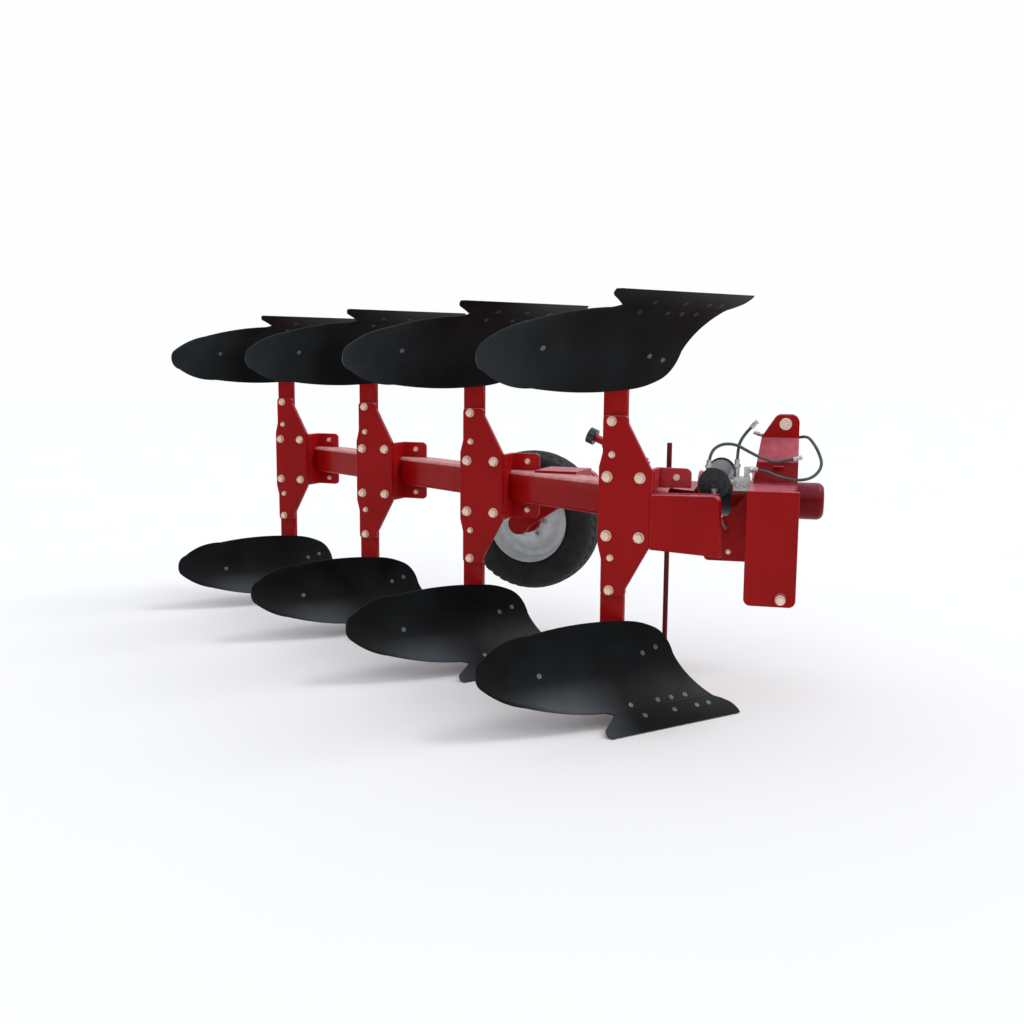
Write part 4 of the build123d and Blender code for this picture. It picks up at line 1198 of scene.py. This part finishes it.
@dataclass
class Hoses:
    """The four hydraulic hoses of the headstock, as smooth curves.

    Each repeats the corners of its solid, ahead, across and up in the headstock.
    """

    diameter: float = 0.013
    routes: dict = field(default_factory=lambda: {
        "hose_ram": [
            (-0.262, -0.312, 0.160), (-0.262, -0.312, 0.216), (-0.223, -0.300, 0.258),
            (-0.160, -0.276, 0.260), (-0.104, -0.242, 0.226), (-0.050, -0.196, 0.196),
            (0.015, -0.164, 0.176), (0.078, -0.158, 0.192),
        ],
        "hose_free": [
            (-0.150, -0.242, 0.160), (-0.150, -0.242, 0.216), (-0.140, -0.236, 0.280),
            (-0.098, -0.228, 0.326),
        ],
        "hose_loop": [
            (-0.098, -0.226, 0.150), (-0.046, -0.226, 0.150), (0.022, -0.228, 0.122),
            (0.095, -0.208, 0.106), (0.162, -0.184, 0.118), (0.200, -0.140, 0.166),
            (0.182, -0.092, 0.222), (0.156, -0.026, 0.262), (0.134, 0.048, 0.280),
            (0.078, 0.092, 0.266), (0.004, 0.088, 0.256), (-0.058, 0.086, 0.278),
        ],
        "hose_drop": [
            (-0.236, -0.346, 0.078), (-0.236, -0.346, 0.030), (-0.221, -0.338, -0.022),
            (-0.200, -0.308, -0.068), (-0.190, -0.270, -0.096),
        ],
    })
    ends: dict = field(default_factory=lambda: {
        "hose_ram": "fitting", "hose_free": "fitting", "hose_loop": "fitting", "hose_drop": "object",
    })
    coupling_size: tuple[float, float] = (0.0105, 0.038)
    sleeve: Profile = (
        (0.80, 0.0), (0.94, 0.0263), (0.94, 0.12), (0.86, 0.14),
        (0.86, 0.20), (0.94, 0.22), (0.94, 0.34), (0.80, 0.36),
    )
    nut: Profile = ((0.82, 0.36), (0.86, 0.38), (0.86, 0.62), (0.80, 0.64))
    plug: Profile = (
        (0.74, 0.64), (0.74, 0.72), (0.92, 0.75), (0.92, 0.90),
        (0.80, 0.94), (0.80, 0.985), (0.66, 1.0), (0.2, 1.0),
    )

    def coupling(self, name: str, route: list) -> bpy.types.Object:
        """Crimped sleeve, hexagon and plug that carry on from a hose's last run.

        Their profiles are in shares of the coupling's radius and length.

        Args:
            name: Name of the hose.
            route: Its corners.

        Returns:
            The Blender object.
        """
        sleeve, nut, plug = (
            shape(np.array(profile) * self.coupling_size)
            for shape, profile in ((turned, self.sleeve), (hexagon, self.nut), (turned, self.plug))
        )
        last, before = np.array(route[-1]), np.array(route[-2])
        shell = placed(joined([sleeve, nut, plug]), last, last - before).moved(LAYOUT.headstock)
        return make_piece(
            name + "_coupling", shell, "headstock", FITTING, ["hose_couplings"],
        )

    def build(self) -> None:
        for name, route in self.routes.items():
            points = LAYOUT.headstock(np.array(route))
            curve = bpy.data.curves.new(name + "_line", "CURVE")
            curve.dimensions = "3D"
            curve.bevel_depth = self.diameter / 2
            curve.bevel_resolution = 6
            curve.resolution_u = 16
            curve.use_fill_caps = True
            spline = curve.splines.new("NURBS")
            spline.points.add(len(points) - 1)
            for point, place in zip(spline.points, points):
                point.co = (*place, 1.0)
            spline.order_u = 3
            spline.use_endpoint_u = True
            hose = bpy.data.objects.new(name + "_rubber", curve)
            bpy.context.scene.collection.objects.link(hose)
            # The drop hose wears the pale painted reflection.
            FINISHES.dress(hose, SHEEN_HOSE if name == "hose_drop" else HOSE)
            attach(hose, "headstock")
            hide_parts(name)
            far_end = self.ends[name]
            [] if far_end == "object" else [self.coupling(name, route)]


@dataclass
class Studio:
    """Camera at the photograph's viewpoint, soft lights and a pale floor."""

    eye: tuple[float, float, float] = (1.32206, -4.23717, 0.55316)
    azimuth: float = math.radians(22.3787)
    pitch: float = math.radians(7.4706)
    roll: float = math.radians(0.4285)
    focal_pixels: float = 1076.917
    picture_width: float = 1024.0
    sensor: float = 36.0
    key_from: tuple[float, float, float] = (0.537, 0.281, 0.796)
    front_from: tuple[float, float, float] = (0.10, -0.70, 0.70)
    floor_radii: tuple = (0.0, 1.0, 3.0, 8.0, 20.0, 60.0)
    floor_sides: int = 64
    floor_drop: float = 0.002
    floor_tones: tuple[Colour, Colour] = ((0.86, 0.86, 0.86), (0.88, 0.88, 0.88))
    floor_grain: Grain = (0.8, 2.0)
    sky: tuple = ((0.02, (0.16, 0.16, 0.17)), (0.25, (0.50, 0.51, 0.54)), (0.75, (1.0, 1.02, 1.06)))
    beyond: Span = (-0.6, 1.0)
    strength: Span = (0.75, 1.35)
    backdrop: Colour = (0.985, 0.990, 1.0)

    def camera(self) -> None:
        """Place the camera: a pinhole turned by azimuth, pitch and roll."""
        data = bpy.data.cameras.new("photo_camera")
        data.sensor_width = self.sensor
        data.lens = self.focal_pixels / self.picture_width * self.sensor
        data.clip_end = 200.0
        az, down, roll = self.azimuth, self.pitch, self.roll
        forward = Vector((-math.sin(az) * math.cos(down), math.cos(az) * math.cos(down), -math.sin(down)))
        right = Vector((math.cos(az), math.sin(az), 0.0))
        up = right.cross(forward)
        right, up = (
            math.cos(roll) * right + math.sin(roll) * up,
            -math.sin(roll) * right + math.cos(roll) * up,
        )
        place = Vector(LAYOUT.origin() + np.array(self.eye))
        matrix = Matrix((right, up, -forward)).transposed().to_4x4()
        matrix.translation = place
        camera = bpy.data.objects.new("photo_camera", data)
        camera.matrix_world = matrix
        bpy.context.scene.collection.objects.link(camera)
        bpy.context.scene.camera = camera

    def floor(self) -> None:
        """Lay a wide pale disc under the plough, as rings of points."""
        radii = np.array(self.floor_radii)[:, None]
        angle = np.arange(self.floor_sides) * TAU / self.floor_sides
        level = np.zeros((len(radii), self.floor_sides)) - self.floor_drop
        rings = np.stack([radii * np.cos(angle), radii * np.sin(angle), level], axis=-1)
        mesh = bpy.data.meshes.new("floor")
        faces = grid_faces(len(radii), self.floor_sides)
        mesh.from_pydata(rings.reshape(-1, 3).tolist(), [], faces.tolist())
        floor = bpy.data.objects.new("floor", mesh)
        bpy.context.scene.collection.objects.link(floor)
        g = Graph("studio_floor")
        tone = g.mix(g.noise(*self.floor_grain), *self.floor_tones)
        g.set(Base_Color=tone, Roughness=0.9, Specular_IOR_Level=0.1)
        mesh.materials.append(g.material)

    def world(self) -> None:
        """Sky that brightens upwards and beyond the plough, shown plain to the lens."""
        world = bpy.data.worlds.new("studio")
        bpy.context.scene.world = world
        world.use_nodes = True
        nodes = Nodes(world.node_tree)
        nodes.tree.nodes.clear()
        place = nodes.add("TexCoord").outputs["Generated"]
        _, beyond, up = nodes.add("SeparateXYZ", Vector=place).outputs
        ramp = nodes.add("ValToRGB", Fac=up)
        stops = ramp.color_ramp.elements
        stops.new(0.5)
        for stop, (height, colour) in zip(stops, self.sky):
            stop.position = height
            stop.color = (*colour, 1)
        strength = nodes.ramp(beyond, *self.beyond, *self.strength)
        lit = nodes.add("Background", Color=ramp.outputs["Color"], Strength=strength)
        seen = nodes.add("Background", Color=self.backdrop, Strength=1.0)
        mix = nodes.add("MixShader", Fac=nodes.add("LightPath").outputs["Is Camera Ray"])
        nodes.put(mix.inputs[1], lit.outputs[0])
        nodes.put(mix.inputs[2], seen.outputs[0])
        nodes.add("OutputWorld", Surface=mix.outputs[0])

    def sky_light(self, name: str, toward: Sequence[float], spread: float, strength: float) -> None:
        """Hang a distant soft light.

        Args:
            name: Name of the light.
            toward: Direction from the plough to the light.
            spread: Angle that it spans, in degrees.
            strength: Watts a square metre.
        """
        data = bpy.data.lights.new(name, "SUN")
        data.angle = math.radians(spread)
        data.energy = strength
        light = bpy.data.objects.new(name, data)
        light.rotation_euler = Vector(toward).to_track_quat("Z", "Y").to_euler()
        bpy.context.scene.collection.objects.link(light)

    def build(self) -> None:
        """Set the whole studio."""
        bpy.context.scene.view_settings.view_transform = "Standard"
        self.camera()
        self.floor()
        self.world()
        self.sky_light("key", self.key_from, spread=24.0, strength=0.9)
        self.sky_light("front", self.front_from, spread=40.0, strength=0.35)
        LOG.info("studio set")


def finish_of(node: str) -> object:
    """Finish that a carried-over CAD node wears, by its name."""
    table = (
        (("moldboard", "share"), BLACK),
        (("wheel_tyre",), TYRE),
        (("wheel_rim",), SILVER),
        (("top_link_pin",), ZINC),
        (("turnover_ram", "adjuster_knob"), HYDRAULIC),
        (("valve_block", "hose_couplings"), FITTING),
        (("hose_rest",), RED),
        (("console_1",), LIT_SHEEN_RED),
        (("console",), LIT_TAB_RED),
        (("main_beam",), BEAM_RED),
        (("parking_stand",), DARK_RED),
        (("hose_",), HOSE),
    )
    for starts, finish in table:
        if node.startswith(starts):
            return finish
    return RED


def main() -> None:
    """Build every piece in order."""
    logging.basicConfig(level=logging.INFO, format="%(message)s")
    Studio().build()
    Hoses().build()
    for name, node in frame["nodes"].items():
        FINISHES.dress(node, finish_of(name))
    Plates().build()
    BodyPlates().build()
    Standards().build()
    Bodies().build()
    Welds().build()
    Wheel().build()
    Headstock().build()


if __name__ == "__main__":
    main()
